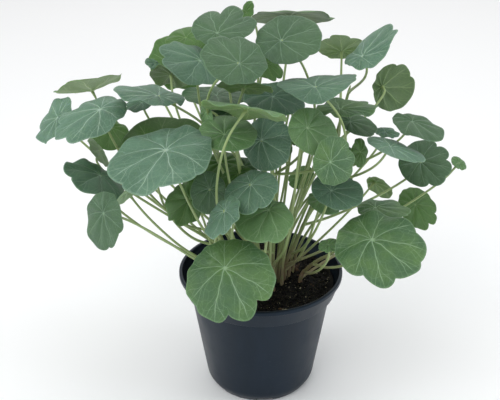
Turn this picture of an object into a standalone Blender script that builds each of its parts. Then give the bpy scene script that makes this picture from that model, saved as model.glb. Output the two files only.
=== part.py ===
"""A nasturtium plant in its nursery pot: pot, soil, stems and leaves, in metres with +Z up.

The origin is the middle of the pot's underside. The plant is seen from in front, along +Y.
Lengths below are in millimetres until they reach Blender.
"""

import itertools
import math
from typing import NamedTuple

import bmesh
import bpy
import numpy as np
from mathutils import Matrix, Vector, noise

MM = 0.001

RIM_RADIUS = 60.0
POT_HEIGHT = 93.5
FOOT_RADIUS = 36.0
WALL_RADII = (39.7, 51.9)  # outside the floor, and below the collar
WALL = 1.5
LIP_HEIGHT = 3.2
COLLAR_HEIGHT = 12.0
COLLAR_STEP = 3.1
HEEL_HEIGHT = 8.0  # below this the wall rounds in to the foot
FLOOR_UNDER = 3.0  # the floor stands this far above the foot's edge
FLOOR_TOP = 4.6
PAD_RADIUS = 11.0  # the middle of the floor reaches down to the foot's level
POT_SIDES = 40

NOTCHES = 6
NOTCH_TURN = math.radians(5)
NOTCH_WIDTHS = (16.0, 10.5)  # at the ground and at the top of the notch
NOTCH_HEIGHT = 2.8
DRAIN_HOLES = 6
DRAIN_RADIUS = 3.5
DRAIN_CIRCLE = 22.0

SOIL_TOP = 83.0
SOIL_BUMPS = 1.6
SOIL_CALM = 36.0  # the soil stays level inside this radius, where the stems come up
GAP = 0.3

BLADE_THICKNESS = 0.8
BLADE_RINGS = (0.0, 0.55, 1.0)

COLOURS = {
    "pot": ((0.020, 0.027, 0.038), 0.42),
    "soil": ((0.018, 0.013, 0.010), 0.95),
    "stem": ((0.270, 0.260, 0.130), 0.55),
    "leaf": ((0.095, 0.180, 0.085), 0.60),
}

# The plant is described from in front, as a viewer standing a little above it sees it. Places in
# that view are given in view points, counted right and down from the corner of a 500 by 400 view.
VIEW_DOWN = math.radians(27.1)  # how far the viewer looks down
VIEW_DISTANCE = 731.5
VIEW_AIM = np.array([-7.9, 0.0, 149.7])
VIEW_SCALE = 1028.0  # view points across a thing as wide as its distance
VIEW_MIDDLE = (250.0, 200.0)

AHEAD = np.array([0.0, math.cos(VIEW_DOWN), -math.sin(VIEW_DOWN)])
RIGHT = np.array([1.0, 0.0, 0.0])
UPWARD = np.cross(RIGHT, AHEAD)
VIEWER = VIEW_AIM - AHEAD * VIEW_DISTANCE

VEINS = 9
PETIOLE_RADIUS = 0.95
STEM_RADIUS = 1.5
STALK_GAP = 1.0  # from a stem's side to the middle of a petiole's end, which is cut at a slant
BOWS = (0, 0.08, 0.16, 0.26, 0.38, 0.52)
SHIFTS = (0, -0.05, 0.05, -0.1, 0.1)
LEAST_STEP_OUT = 0.7  # a petiole leaves its stem at no flatter a slant than this cosine
PATH_POINTS = 40
STEM_POINTS = 49
STALK_POINTS = 8  # of those, how many a leaf's own stalk is made with
CLEAR = 2.5  # kept between a petiole's centreline and anything it passes


class Stem(NamedTuple):
    """A stem, by points on its centreline: right, towards the viewer and up, in millimetres."""

    name: str
    points: tuple


class Leaf(NamedTuple):
    """One leaf, by the ellipse that its round rim makes in the front view."""

    name: str
    middle: tuple  # middle of the ellipse
    half: tuple  # its half-length and half-width
    slope: float  # degrees that its length rises to the right
    hub: tuple  # where the veins meet
    toward: float  # millimetres from the pot's middle towards the viewer
    stem: str
    under: bool = False  # the underside is what the viewer sees
    nods: bool = False  # the face leans down and not up
    cup: float = -0.10  # how far the rim stands above the hub, in radii
    fold: float = 0.0  # how far the two ends rise and the two sides drop
    notch: float = 0.07  # how deep the rim dips between the veins at the tip


STEMS = (
    Stem("stem_left", ((-19, 8, 83.3), (-20, 9, 96), (-27, 14, 120), (-38, 16, 140))),
    Stem("stem_middle", ((9, 14, 83.3), (9, 14, 97), (7, 10, 130), (2, 4, 172), (-2, 2, 205))),
    Stem("stem_right", ((17, -1, 83.3), (18, -1, 96), (29, -4, 122), (43, -10, 160),
                        (54, -18, 196), (62, -22, 228))),
    Stem("stem_front", ((-4, 30, 83.3), (-4, 30, 92), (-2, 36, 108), (4, 40, 124))),
    Stem("stem_back", ((-4, -14, 83.3), (-4, -14, 96), (-8, -20, 130), (-14, -22, 170))),
    Stem("stem_brown", ((29, 2, 83.5), (31, 3, 91), (40, 10, 105), (52, 18, 117))),
)

LEAVES = (
    Leaf("left_reach", (88, 117), (40, 18), 25, (101, 111), 25, "stem_left", cup=-0.16),
    Leaf("left_behind", (53, 119), (27, 11), 58, (58, 118), -26, "stem_back"),
    Leaf("left_high", (88, 86), (36, 5), 13, (92, 88), -62, "stem_back", under=True, cup=0.12),
    Leaf("left_upper", (150, 93), (36, 9), -8, (158, 97), 20, "stem_back"),
    Leaf("left_shade", (110, 134), (20, 15), -10, (111, 128), -30, "stem_left"),
    Leaf("broad_back", (166, 145), (46, 32), 5, (160, 150), 32, "stem_left"),
    Leaf("broad_front", (160, 158), (55, 31), 17, (166, 150), 72, "stem_left", cup=-0.06),
    Leaf("left_sliver", (99, 152), (17, 5), -55, (99, 151), 4, "stem_left"),
    Leaf("left_dark", (95, 178), (33, 15), -28, (100, 176), 26, "stem_left"),
    Leaf("left_hang", (103, 221), (30, 18), 92, (104, 213), 84, "stem_left"),
    Leaf("left_grey", (127, 194), (16, 4), 40, (128, 193), 52, "stem_left"),
    Leaf("low_left", (185, 203), (25, 19), 60, (190, 199), 30, "stem_left"),
    Leaf("low_left_in", (209, 193), (22, 18), 90, (209, 189), 52, "stem_left", nods=True),
    Leaf("low_slant", (222, 217), (24, 13), 56, (225, 211), 90, "stem_front"),
    Leaf("mid_front", (250, 192), (29, 21), 30, (251, 185), 68, "stem_front"),
    Leaf("mid_low", (264, 220), (30, 23), 0, (269, 210), 70, "stem_front"),
    Leaf("pot_front", (231, 281), (45, 43), 10, (225, 268), 92, "stem_front"),
    Leaf("pot_right", (381, 247), (46, 37), -12, (372, 240), 62, "stem_brown"),
    Leaf("right_low", (384, 208), (27, 10), -5, (375, 208), 10, "stem_brown"),
    Leaf("right_lobe", (419, 208), (24, 17), -50, (415, 205), -32, "stem_brown"),
    Leaf("right_round", (426, 163), (27, 24), -10, (421, 162), -22, "stem_right", notch=0.12),
    Leaf("right_blade", (397, 148), (31, 8), -20, (390, 147), 32, "stem_right"),
    Leaf("right_upper", (419, 126), (28, 11), -20, (412, 122), 14, "stem_right"),
    Leaf("right_tiny", (459, 163), (9, 5), -40, (459, 163), -34, "stem_right"),
    Leaf("right_back", (393, 87), (25, 20), 75, (382, 87), -48, "stem_right", under=True),
    Leaf("right_flat", (347, 106), (31, 9), 0, (340, 110), 14, "stem_right"),
    Leaf("right_fold", (359, 124), (20, 10), -20, (350, 122), -2, "stem_right"),
    Leaf("right_peek", (360, 153), (15, 8), 90, (360, 152), 5, "stem_right", nods=True),
    Leaf("right_disc", (335, 161), (25, 21), 80, (330, 162), 66, "stem_right", nods=True),
    Leaf("mid_disc", (314, 131), (27, 22), -40, (307, 128), 52, "stem_middle"),
    Leaf("mid_dark", (275, 99), (31, 17), -8, (273, 97), 16, "stem_middle"),
    Leaf("mid_saddle", (317, 82), (41, 14), 5, (315, 88), 42, "stem_middle", fold=0.14),
    Leaf("mid_shade", (267, 143), (29, 24), 80, (262, 140), 36, "stem_middle"),
    Leaf("mid_bright", (228, 132), (30, 18), -3, (224, 135), 48, "stem_middle"),
    Leaf("mid_edge", (243, 110), (45, 5), -10, (246, 110), 66, "stem_middle", under=True),
    Leaf("top_face", (234, 58), (34, 24), -15, (239, 64), 64, "stem_middle"),
    Leaf("top_left", (190, 62), (34, 18), -25, (200, 61), 30, "stem_back"),
    Leaf("top_crown", (224, 24), (33, 19), 10, (217, 34), 2, "stem_back", notch=0.16),
    Leaf("top_lobe", (247, 11), (11, 6), 70, (246, 12), -40, "stem_back"),
    Leaf("top_far_left", (185, 36), (21, 9), 15, (186, 38), -52, "stem_back"),
    Leaf("left_olive", (170, 76), (21, 10), -10, (171, 75), -48, "stem_back", under=True),
    Leaf("mid_blue", (219, 93), (38, 10), 0, (216, 96), -22, "stem_back"),
    Leaf("mid_lip", (245, 86), (29, 6), -5, (244, 88), 40, "stem_middle", under=True),
    Leaf("top_right", (291, 16), (43, 7), 0, (290, 17), -58, "stem_middle", under=True),
    Leaf("top_broad", (289, 38), (34, 24), 5, (281, 41), 15, "stem_middle"),
    Leaf("top_olive", (341, 46), (24, 12), 0, (342, 55), -56, "stem_right", under=True),
    Leaf("top_wing", (371, 46), (31, 14), 35, (362, 57), 14, "stem_right", fold=0.12),
    Leaf("right_inner", (338, 190), (27, 18), -15, (331, 191), 36, "stem_right"),
    Leaf("right_glow", (325, 202), (18, 11), -20, (322, 200), 14, "stem_right"),
    Leaf("right_olive", (380, 187), (15, 8), -35, (372, 181), -34, "stem_right", under=True),
    Leaf("low_right", (329, 245), (11, 7), 10, (329, 245), 50, "stem_brown"),
    Leaf("mid_back", (301, 177), (14, 11), 30, (302, 178), -52, "stem_back"),
)


def ray(spot):
    """The line of sight through a place in the front view, one long along the way ahead."""
    across = (spot[0] - VIEW_MIDDLE[0]) / VIEW_SCALE
    above = (VIEW_MIDDLE[1] - spot[1]) / VIEW_SCALE
    return AHEAD + RIGHT * across + UPWARD * above


def placed(spot, toward):
    """The point that lies under this spot of the view, on the upright plane so far toward."""
    way = ray(spot)
    return VIEWER + way * ((-toward - VIEWER[1]) / way[1])


def unit(vector):
    return vector / np.linalg.norm(vector)


class Blade:
    """A leaf's round blade in space: a disc with its hub off the middle, cupped and notched."""

    def __init__(self, leaf):
        self.leaf = leaf
        self.middle = placed(leaf.middle, leaf.toward)
        distance = (self.middle - VIEWER) @ AHEAD
        self.radius = leaf.half[0] * distance / VIEW_SCALE
        toward = unit(VIEWER - self.middle)
        slope = math.radians(leaf.slope)
        self.along = RIGHT * math.cos(slope) + UPWARD * math.sin(slope)
        self.along = unit(self.along - toward * (self.along @ toward))
        lean = np.cross(toward, self.along)
        tilt = math.acos(leaf.half[1] / leaf.half[0])
        seen = toward * math.cos(tilt) * (-1 if leaf.under else 1)
        self.normal = seen + lean * math.sin(tilt) * (-1 if leaf.nods else 1)
        self.across = np.cross(self.normal, self.along)
        self.hub = self.flat(self.pierced(leaf.hub))
        reach = np.linalg.norm(self.hub)
        if reach > 0.5 * self.radius:
            self.hub *= 0.5 * self.radius / reach
        away = -self.hub if reach > 0.06 * self.radius else self.flat(self.middle - UPWARD)
        self.tip = math.atan2(away[1], away[0])

    def pierced(self, spot):
        """Where the line of sight through this spot meets the disc's plane."""
        way = ray(spot)
        return VIEWER + way * (((self.middle - VIEWER) @ self.normal) / (way @ self.normal))

    def flat(self, points):
        """Places in the disc's own plane, from points in space."""
        offset = points - self.middle
        return np.stack([offset @ self.along, offset @ self.across], axis=-1)

    def reach(self, angle):
        """From the hub to the rim, at an angle from the tip."""
        way = np.stack([np.cos(angle + self.tip), np.sin(angle + self.tip)], axis=-1)
        lean = way @ self.hub
        rim = np.sqrt(lean**2 + self.radius**2 - self.hub @ self.hub) - lean
        dip = self.leaf.notch * np.clip(np.cos(angle), 0, 1) * (0.5 - 0.5 * np.cos(VEINS * angle))
        return rim * (1 - dip)

    def height(self, share, angle):
        """How far the blade stands off its plane, at a share of the way from hub to rim."""
        bend = self.leaf.cup * (share**2 - 0.5)
        return self.radius * (bend + self.leaf.fold * share**2 * np.cos(2 * (angle + self.tip)))

    def point(self, share, angle):
        """A point of the blade, at a share of the way from hub to rim, at an angle from the tip."""
        out = share * self.reach(angle)
        east = self.hub[0] + out * np.cos(angle + self.tip)
        north = self.hub[1] + out * np.sin(angle + self.tip)
        lift = self.height(share, angle)
        shift = np.stack([east, north, lift], axis=-1)
        return self.middle + shift @ np.array([self.along, self.across, self.normal])

    def above(self, points):
        """Each point's height over the blade and its share of the way from hub to rim."""
        offset = self.flat(points) - self.hub
        angle = np.arctan2(offset[..., 1], offset[..., 0]) - self.tip
        share = np.linalg.norm(offset, axis=-1) / self.reach(angle)
        lift = (points - self.middle) @ self.normal - self.height(np.clip(share, 0, 1.3), angle)
        return lift, share


def smooth_line(points, count):
    """A smooth line through a few points, as evenly numbered points along it."""
    knots = np.asarray(points, float)
    ends = np.vstack([2 * knots[0] - knots[1], knots, 2 * knots[-1] - knots[-2]])
    steps = np.linspace(0, len(knots) - 1, count)
    first = np.minimum(steps.astype(int), len(knots) - 2)
    t = (steps - first)[:, None]
    a, b, c, d = (ends[first + k] for k in range(4))
    return 0.5 * (2 * b + (c - a) * t + (2 * a - 5 * b + 4 * c - d) * t**2
                  + (3 * b - a - 3 * c + d) * t**3)


def bezier(a, b, c, d, count):
    t = np.linspace(0, 1, count)[:, None]
    return a * (1 - t)**3 + 3 * b * t * (1 - t)**2 + 3 * c * t**2 * (1 - t) + d * t**3


def stem_line(stem, count):
    points = [(x, -toward, z) for x, toward, z in stem.points]
    return smooth_line(points, count)


def stem_radius(share):
    """A stem's radius at a share of its length, thinner towards its tip."""
    return STEM_RADIUS * (1 - 0.3 * share)


def gap_between(line, other):
    return np.linalg.norm(line[:, None] - other[None], axis=-1).min()


def clashes(path, blade, blades, lines, stem, way):
    """How many times a petiole would touch its stem, a blade or another stalk."""
    leaving = unit(path[1] - path[0])
    count = int(leaving @ way < LEAST_STEP_OUT)
    count += int(gap_between(path[1:], stem) < STEM_RADIUS + PETIOLE_RADIUS + 0.3)
    for other in blades:
        if other is blade:
            continue
        lift, share = other.above(path)
        within = share < 1 + CLEAR / other.radius
        touching = within & (np.abs(lift) < CLEAR + 0.3)
        crossing = within[1:] & within[:-1] & (lift[1:] * lift[:-1] < 0)
        count += int(touching.any()) + int(crossing.any())
    lift, share = blade.above(path[: PATH_POINTS - 3])
    count += int(((lift > -0.8) & (share < 1.15)).any())
    for line in lines:
        count += int(gap_between(path[1:], line) < CLEAR)
    return count


def bowed(blade, start, way, bow, angle):
    """A stalk's path from its stem to its blade's hub, bowed sideways by a share of its span."""
    rise = np.array([0, 0, 1.0])
    hub = blade.point(np.float64(0), np.float64(0))
    span = np.linalg.norm(hub - start)
    ahead = unit(hub - start)
    side = unit(np.cross(ahead, rise))
    push = span * bow * (side * math.cos(angle) + np.cross(side, ahead) * math.sin(angle))
    leaving = start + way * span * 0.22 + rise * span * 0.16 + push
    arriving = hub - blade.normal * min(0.34 * span, 26) + push * 0.6
    return bezier(start, leaving, arriving, hub, PATH_POINTS)


def petiole(blade, blades, lines, stem, share):
    """The stalk of a blade: the first of the paths tried, least bowed first, to touch nothing."""
    fewest, best = None, None
    for bow, turn, shift in itertools.product(BOWS, range(12), SHIFTS):
        if bow == 0 and turn > 0:
            continue
        spot = min(max(share + shift, 0.1), 0.98)
        number = round(spot * (STEM_POINTS - 1))
        place = stem[number]
        grain = unit(stem[number] - stem[number - 1])
        out = (blade.middle - place) * (1, 1, 0)
        way = unit(out - grain * (out @ grain))
        start = place + way * (stem_radius(spot) + STALK_GAP)
        path = bowed(blade, start, way, bow, turn * math.pi / 6)
        cost = clashes(path, blade, blades, lines, stem, way)
        if best is None or cost < fewest:
            fewest, best = cost, path
        if cost == 0:
            break
    return best


def grown():
    """Every stem's centreline, every blade, and the petiole of each."""
    blades = [Blade(leaf) for leaf in LEAVES]
    stems = {stem.name: stem_line(stem, STEM_POINTS) for stem in STEMS}
    lines = list(stems.values())
    paths = {}
    for stem in STEMS:
        line = stems[stem.name]
        own = [blade for blade in blades if blade.leaf.stem == stem.name]
        own.sort(key=lambda blade: blade.middle[2])
        for number, blade in enumerate(own):
            share = 0.12 + 0.83 * (number + 0.5) / len(own)
            others = [other for other in lines if other is not line]
            path = petiole(blade, blades, others, line, share)
            paths[blade.leaf.name] = path
            lines.append(path)
    return stems, blades, paths


def cleared_scene():
    for thing in list(bpy.data.objects):
        bpy.data.objects.remove(thing)


def collection_named(name):
    made = bpy.data.collections.new(name)
    bpy.context.scene.collection.children.link(made)
    return made


def material_named(name, kind):
    """A plain material in the colour and roughness of its kind."""
    colour, roughness = COLOURS[kind]
    made = bpy.data.materials.new(name)
    made.use_nodes = True
    shader = made.node_tree.nodes["Principled BSDF"]
    shader.inputs["Base Color"].default_value = (*colour, 1.0)
    shader.inputs["Roughness"].default_value = roughness
    made.diffuse_color = (*colour, 1.0)
    return made


def added(name, mesh, collection, kind=None):
    made = bpy.data.objects.new(name, mesh)
    collection.objects.link(made)
    if kind:
        mesh.materials.clear()
        mesh.materials.append(material_named(name, kind))
    return made


def evaluated_mesh(thing):
    """The mesh of an object with its modifiers or its bevel worked out, and its seams closed."""
    bpy.context.view_layer.update()
    graph = bpy.context.evaluated_depsgraph_get()
    mesh = bpy.data.meshes.new_from_object(thing.evaluated_get(graph))
    shape = bmesh.new()
    shape.from_mesh(mesh)
    bmesh.ops.remove_doubles(shape, verts=shape.verts, dist=0.001 * MM)
    shape.to_mesh(mesh)
    shape.free()
    return mesh


def turned(name, profile, steps, collection, kind):
    """A profile of (radius, height) points turned once round the upright axis."""
    mesh = bpy.data.meshes.new(name)
    shape = bmesh.new()
    points = [shape.verts.new((radius * MM, 0, height * MM)) for radius, height in profile]
    for first, second in zip(points, points[1:]):
        shape.edges.new((first, second))
    shape.to_mesh(mesh)
    shape.free()
    made = added(name, mesh, collection, kind)
    screw = made.modifiers.new("Turn", "SCREW")
    screw.steps = screw.render_steps = steps
    screw.use_merge_vertices = True
    screw.merge_threshold = 0.00005
    screw.use_smooth_shade = True
    return made


def cut(body, cutter):
    cutter.hide_render = True
    cutter.display_type = "WIRE"
    modifier = body.modifiers.new("Cut " + cutter.name, "BOOLEAN")
    modifier.operation = "DIFFERENCE"
    modifier.object = cutter


def wall_radius(height):
    """Outside radius of the pot's body, below the collar."""
    collar_foot = POT_HEIGHT - LIP_HEIGHT - COLLAR_HEIGHT
    share = (height - FLOOR_UNDER) / (collar_foot - FLOOR_UNDER)
    return WALL_RADII[0] + share * (WALL_RADII[1] - WALL_RADII[0])


def pot_profile():
    lip_foot = POT_HEIGHT - LIP_HEIGHT
    collar_foot = lip_foot - COLLAR_HEIGHT
    collar_top = RIM_RADIUS - 1.1
    collar_low = wall_radius(collar_foot) + COLLAR_STEP
    inside = [
        (0.0, FLOOR_TOP),
        (FOOT_RADIUS + 1.4, FLOOR_TOP),
        (wall_radius(HEEL_HEIGHT) - WALL, HEEL_HEIGHT),
        (wall_radius(collar_foot) - WALL, collar_foot + 0.6),
        (collar_low - WALL, collar_foot + 1.8),
        (collar_top - WALL, lip_foot + 0.6),
        (RIM_RADIUS - 2.6, POT_HEIGHT - 0.7),
    ]
    lip = [
        (RIM_RADIUS - 1.8, POT_HEIGHT),
        (RIM_RADIUS - 0.7, POT_HEIGHT - 0.2),
        (RIM_RADIUS, POT_HEIGHT - 1.0),
        (RIM_RADIUS, lip_foot + 0.6),
        (RIM_RADIUS - 0.4, lip_foot),
        (collar_top, lip_foot - 0.2),
    ]
    outside = [
        (collar_low, collar_foot + 0.4),
        (collar_low - 0.4, collar_foot),
        (wall_radius(collar_foot - 0.4), collar_foot - 0.4),
        (wall_radius(HEEL_HEIGHT), HEEL_HEIGHT),
        (FOOT_RADIUS + 3.6, 5.4),
        (FOOT_RADIUS + 1.8, 2.7),
        (FOOT_RADIUS, 0.6),
        (FOOT_RADIUS - 0.6, 0.0),
        (FOOT_RADIUS - 3.0, 0.0),
        (FOOT_RADIUS - 3.4, FLOOR_UNDER),
        (PAD_RADIUS + 1.6, FLOOR_UNDER),
        (PAD_RADIUS, 0.0),
        (0.0, 0.0),
    ]
    return inside + lip + outside


def notch_cutter(collection):
    """Wedges round the foot, each narrower at its top, that together cut the notches."""
    mesh = bpy.data.meshes.new("foot notches")
    shape = bmesh.new()
    for number in range(NOTCHES):
        cube = bmesh.ops.create_cube(shape, size=1.0)["verts"]
        for corner in cube:
            width = NOTCH_WIDTHS[0] if corner.co.z < 0 else NOTCH_WIDTHS[1]
            corner.co = Vector((
                corner.co.x * width,
                corner.co.y * 12.0 - FOOT_RADIUS,
                NOTCH_HEIGHT if corner.co.z > 0 else -1.0,
            )) * MM
        turn = Matrix.Rotation(NOTCH_TURN + 2 * math.pi * number / NOTCHES, 4, "Z")
        bmesh.ops.transform(shape, matrix=turn, verts=cube)
    shape.to_mesh(mesh)
    shape.free()
    return added("foot notches", mesh, collection)


def drain_cutter(collection):
    mesh = bpy.data.meshes.new("drain holes")
    shape = bmesh.new()
    for number in range(DRAIN_HOLES):
        angle = 2 * math.pi * (number + 0.5) / DRAIN_HOLES
        middle = Vector((math.cos(angle), math.sin(angle), 0)) * DRAIN_CIRCLE * MM
        middle.z = (FLOOR_UNDER + FLOOR_TOP) / 2 * MM
        bmesh.ops.create_cone(
            shape, cap_ends=True, segments=12, radius1=DRAIN_RADIUS * MM,
            radius2=DRAIN_RADIUS * MM, depth=6 * MM, matrix=Matrix.Translation(middle),
        )
    shape.to_mesh(mesh)
    shape.free()
    return added("drain holes", mesh, collection)


def make_pot(plant, cutters):
    pot = turned("pot", pot_profile(), POT_SIDES, plant, "pot")
    cut(pot, notch_cutter(cutters))
    cut(pot, drain_cutter(cutters))
    return pot


def make_soil(plant):
    """The soil that fills the pot to a little below its rim, with a bumpy top."""
    collar_foot = POT_HEIGHT - LIP_HEIGHT - COLLAR_HEIGHT
    low = wall_radius(collar_foot) - WALL - 2 * GAP
    top_edge = wall_radius(collar_foot) + COLLAR_STEP - WALL + 0.2
    rings = [(top_edge * share, SOIL_TOP) for share in (0.0, 0.3, 0.55, 0.7, 0.8, 0.9, 1.0)]
    rings += [
        (low + 0.4, collar_foot + 1.2),
        (low, collar_foot - 0.6),
        (wall_radius(HEEL_HEIGHT) - WALL - 2 * GAP, HEEL_HEIGHT + GAP),
        (FOOT_RADIUS + 1.4 - 2 * GAP, FLOOR_TOP + GAP),
        (0.0, FLOOR_TOP + GAP),
    ]
    soil = turned("soil", rings, POT_SIDES, plant, "soil")
    mesh = evaluated_mesh(soil)
    for vertex in mesh.vertices:
        out = math.hypot(vertex.co.x, vertex.co.y) / MM
        if vertex.co.z > (SOIL_TOP - 0.5) * MM and SOIL_CALM < out:
            share = min(1.0, (out - SOIL_CALM) / 6)
            lump = noise.noise(vertex.co * 90) * SOIL_BUMPS * share
            vertex.co.z += lump * MM
    material = soil.data.materials[0]
    soil.modifiers.clear()
    soil.data = mesh
    mesh.materials.clear()
    mesh.materials.append(material)
    mesh.shade_smooth()
    return soil


def tube(name, line, radii, collection, kind=None):
    """A round tube along a line of points, with a radius at each point."""
    curve = bpy.data.curves.new(name, "CURVE")
    curve.dimensions = "3D"
    curve.bevel_depth = MM
    curve.bevel_resolution = 1
    curve.use_fill_caps = True
    spline = curve.splines.new("POLY")
    spline.points.add(len(line) - 1)
    for point, place, radius in zip(spline.points, line, radii):
        point.co = (*(place * MM), 1.0)
        point.radius = radius
    guide = added(name + " guide", curve, collection)
    mesh = evaluated_mesh(guide)
    collection.objects.unlink(guide)
    bpy.data.objects.remove(guide)
    return added(name, mesh, collection, kind)


def blade_disc(blade):
    """The open surface of a blade: one radius spun round the hub, then laid in place."""
    shape = bmesh.new()
    spots = [shape.verts.new((share, 0, 0)) for share in BLADE_RINGS]
    edges = [shape.edges.new(pair) for pair in zip(spots, spots[1:])]
    bmesh.ops.spin(
        shape, geom=spots + edges, cent=(0, 0, 0), axis=(0, 0, 1), angle=2 * math.pi,
        steps=2 * VEINS, use_merge=True,
    )
    bmesh.ops.remove_doubles(shape, verts=shape.verts, dist=1e-5)
    for vertex in shape.verts:
        share = math.hypot(vertex.co.x, vertex.co.y)
        angle = math.atan2(vertex.co.y, vertex.co.x)
        vertex.co = Vector(blade.point(np.float64(share), np.float64(angle)) * MM)
    bmesh.ops.recalc_face_normals(shape, faces=shape.faces)
    facing = sum((face.normal * face.calc_area() for face in shape.faces), Vector())
    if facing.dot(Vector(blade.normal)) < 0:
        bmesh.ops.reverse_faces(shape, faces=shape.faces)
    mesh = bpy.data.meshes.new(blade.leaf.name)
    shape.to_mesh(mesh)
    shape.free()
    return mesh


def make_leaf(blade, path, plant, cutters):
    """A blade joined to its stalk as one body."""
    leaf = added(blade.leaf.name, blade_disc(blade), plant, "leaf")
    thicken = leaf.modifiers.new("Thickness", "SOLIDIFY")
    thicken.thickness = BLADE_THICKNESS * MM
    thicken.offset = 0
    keep = np.linspace(0, PATH_POINTS - 1, STALK_POINTS).round().astype(int)
    line = np.array(path)[keep]
    line[-1] += blade.normal * 0.15 * BLADE_THICKNESS
    radii = np.linspace(PETIOLE_RADIUS, PETIOLE_RADIUS * 0.85, STALK_POINTS)
    stalk = tube(blade.leaf.name + " stalk", line, radii, cutters)
    join = leaf.modifiers.new("Join stalk", "BOOLEAN")
    join.operation = "UNION"
    join.object = stalk
    material = leaf.data.materials[0]
    mesh = evaluated_mesh(leaf)
    leaf.modifiers.clear()
    bpy.data.objects.remove(stalk)
    leaf.data = mesh
    mesh.materials.clear()
    mesh.materials.append(material)
    mesh.shade_smooth()
    mesh.set_sharp_from_angle(angle=math.radians(40))
    return leaf


def main():
    cleared_scene()
    plant = collection_named("nasturtium in pot")
    cutters = collection_named("cutters")
    make_pot(plant, cutters)
    make_soil(plant)
    lines, blades, paths = grown()
    for name, whole in lines.items():
        line = whole[::4]
        radii = stem_radius(np.linspace(0, 1, len(line)))
        tube(name, line, radii, plant, "stem")
    for blade in blades:
        make_leaf(blade, paths[blade.leaf.name], plant, cutters)


main()
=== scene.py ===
# %% [markdown]
# # A potted nasturtium, dressed for the camera
#
# A nasturtium in a nursery pot is a bunch of round leaves on long thin stalks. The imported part
# already has the right sizes and places, but its leaves are coarse discs and its pot has flat
# facets. This lesson gives every piece the surface that the real plant has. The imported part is
# loaded first and never changed, so that each new piece can be laid exactly over its coarse one.

import math
from typing import NamedTuple

import bmesh
import bpy
import numpy as np
from mathutils import Matrix, Vector, noise


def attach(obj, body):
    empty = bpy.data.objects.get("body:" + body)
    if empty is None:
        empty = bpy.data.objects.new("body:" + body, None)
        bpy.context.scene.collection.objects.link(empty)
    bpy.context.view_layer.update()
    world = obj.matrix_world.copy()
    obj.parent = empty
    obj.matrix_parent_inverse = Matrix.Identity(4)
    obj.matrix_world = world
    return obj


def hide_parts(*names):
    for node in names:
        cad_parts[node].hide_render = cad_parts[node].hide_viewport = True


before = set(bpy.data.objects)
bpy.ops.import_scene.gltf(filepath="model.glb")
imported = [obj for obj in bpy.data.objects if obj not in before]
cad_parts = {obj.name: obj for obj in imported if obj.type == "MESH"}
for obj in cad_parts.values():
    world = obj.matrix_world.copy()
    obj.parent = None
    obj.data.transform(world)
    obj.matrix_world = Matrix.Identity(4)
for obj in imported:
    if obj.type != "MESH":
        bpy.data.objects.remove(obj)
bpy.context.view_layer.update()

# %% [markdown]
# ## The view from in front
#
# The camera stands a little above the plant and looks 27 degrees down. The same view also says
# where each leaf is: a leaf is described by the ellipse that its round rim makes in the picture,
# which is far easier to judge than a position in space. Lengths are in millimetres in this
# part of the script, and the last step turns them into metres.

# %% The viewpoint
MM = 0.001
VIEW_DOWN = math.radians(27.1)
VIEW_DISTANCE = 731.5
VIEW_AIM = np.array([-7.9, 0.0, 149.7])
VIEW_SCALE = 1028.0  # view points that a length spans when it is as far ahead as it is long
VIEW_MIDDLE = (250.0, 200.0)
VIEW_WIDTH = 500.0

AHEAD = np.array([0.0, math.cos(VIEW_DOWN), -math.sin(VIEW_DOWN)])
RIGHT = np.array([1.0, 0.0, 0.0])
UPWARD = np.cross(RIGHT, AHEAD)
VIEWER = VIEW_AIM - AHEAD * VIEW_DISTANCE


def unit(vector):
    return vector / np.linalg.norm(vector)


def ray(spot):
    """The line of sight through a place in the front view, one long along the way ahead."""
    across = (spot[0] - VIEW_MIDDLE[0]) / VIEW_SCALE
    above = (VIEW_MIDDLE[1] - spot[1]) / VIEW_SCALE
    return AHEAD + RIGHT * across + UPWARD * above


def placed(spot, toward):
    """The point that lies under this spot of the view, on the upright plane so far toward."""
    way = ray(spot)
    return VIEWER + way * ((-toward - VIEWER[1]) / way[1])


print(f"the viewer stands at {VIEWER.round(1)} mm")

# %% [markdown]
# ## The leaves, one line each
#
# A table keeps the plant readable: each line is one leaf, with its ellipse in the view, the place
# where its veins meet, how far it stands towards the viewer, and its tone. A tone is partly the
# leaf's own green, since young leaves are bright, old ones are dark and many have a blue-grey
# bloom of wax, and partly painted light and shade: each tone was fitted to how bright its leaf
# looks, so darker tones paint the shade that falls on a leaf and brighter ones paint light. One
# formula then shapes them all, and a seeded random number keeps each leaf a little different from
# the next.

# %% The table of leaves
class Leaf(NamedTuple):
    name: str
    middle: tuple  # middle of the rim's ellipse, in view points
    half: tuple  # its half-length and half-width
    slope: float  # degrees that its length rises to the right
    hub: tuple  # where the veins meet
    toward: float  # millimetres towards the viewer
    tone: str
    under: bool = False  # the underside is what the viewer sees
    nods: bool = False  # the face leans down and not up
    cup: float = -0.10  # how far the rim stands above the hub, in radii
    fold: float = 0.0  # how far two sides bend up and the other two down, in radii
    notch: float = 0.12  # about how deep the nicks at the tip go, in radii


# Each leaf's tone was fitted to how bright the leaf looks, so it is partly painted light and shade.
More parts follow.
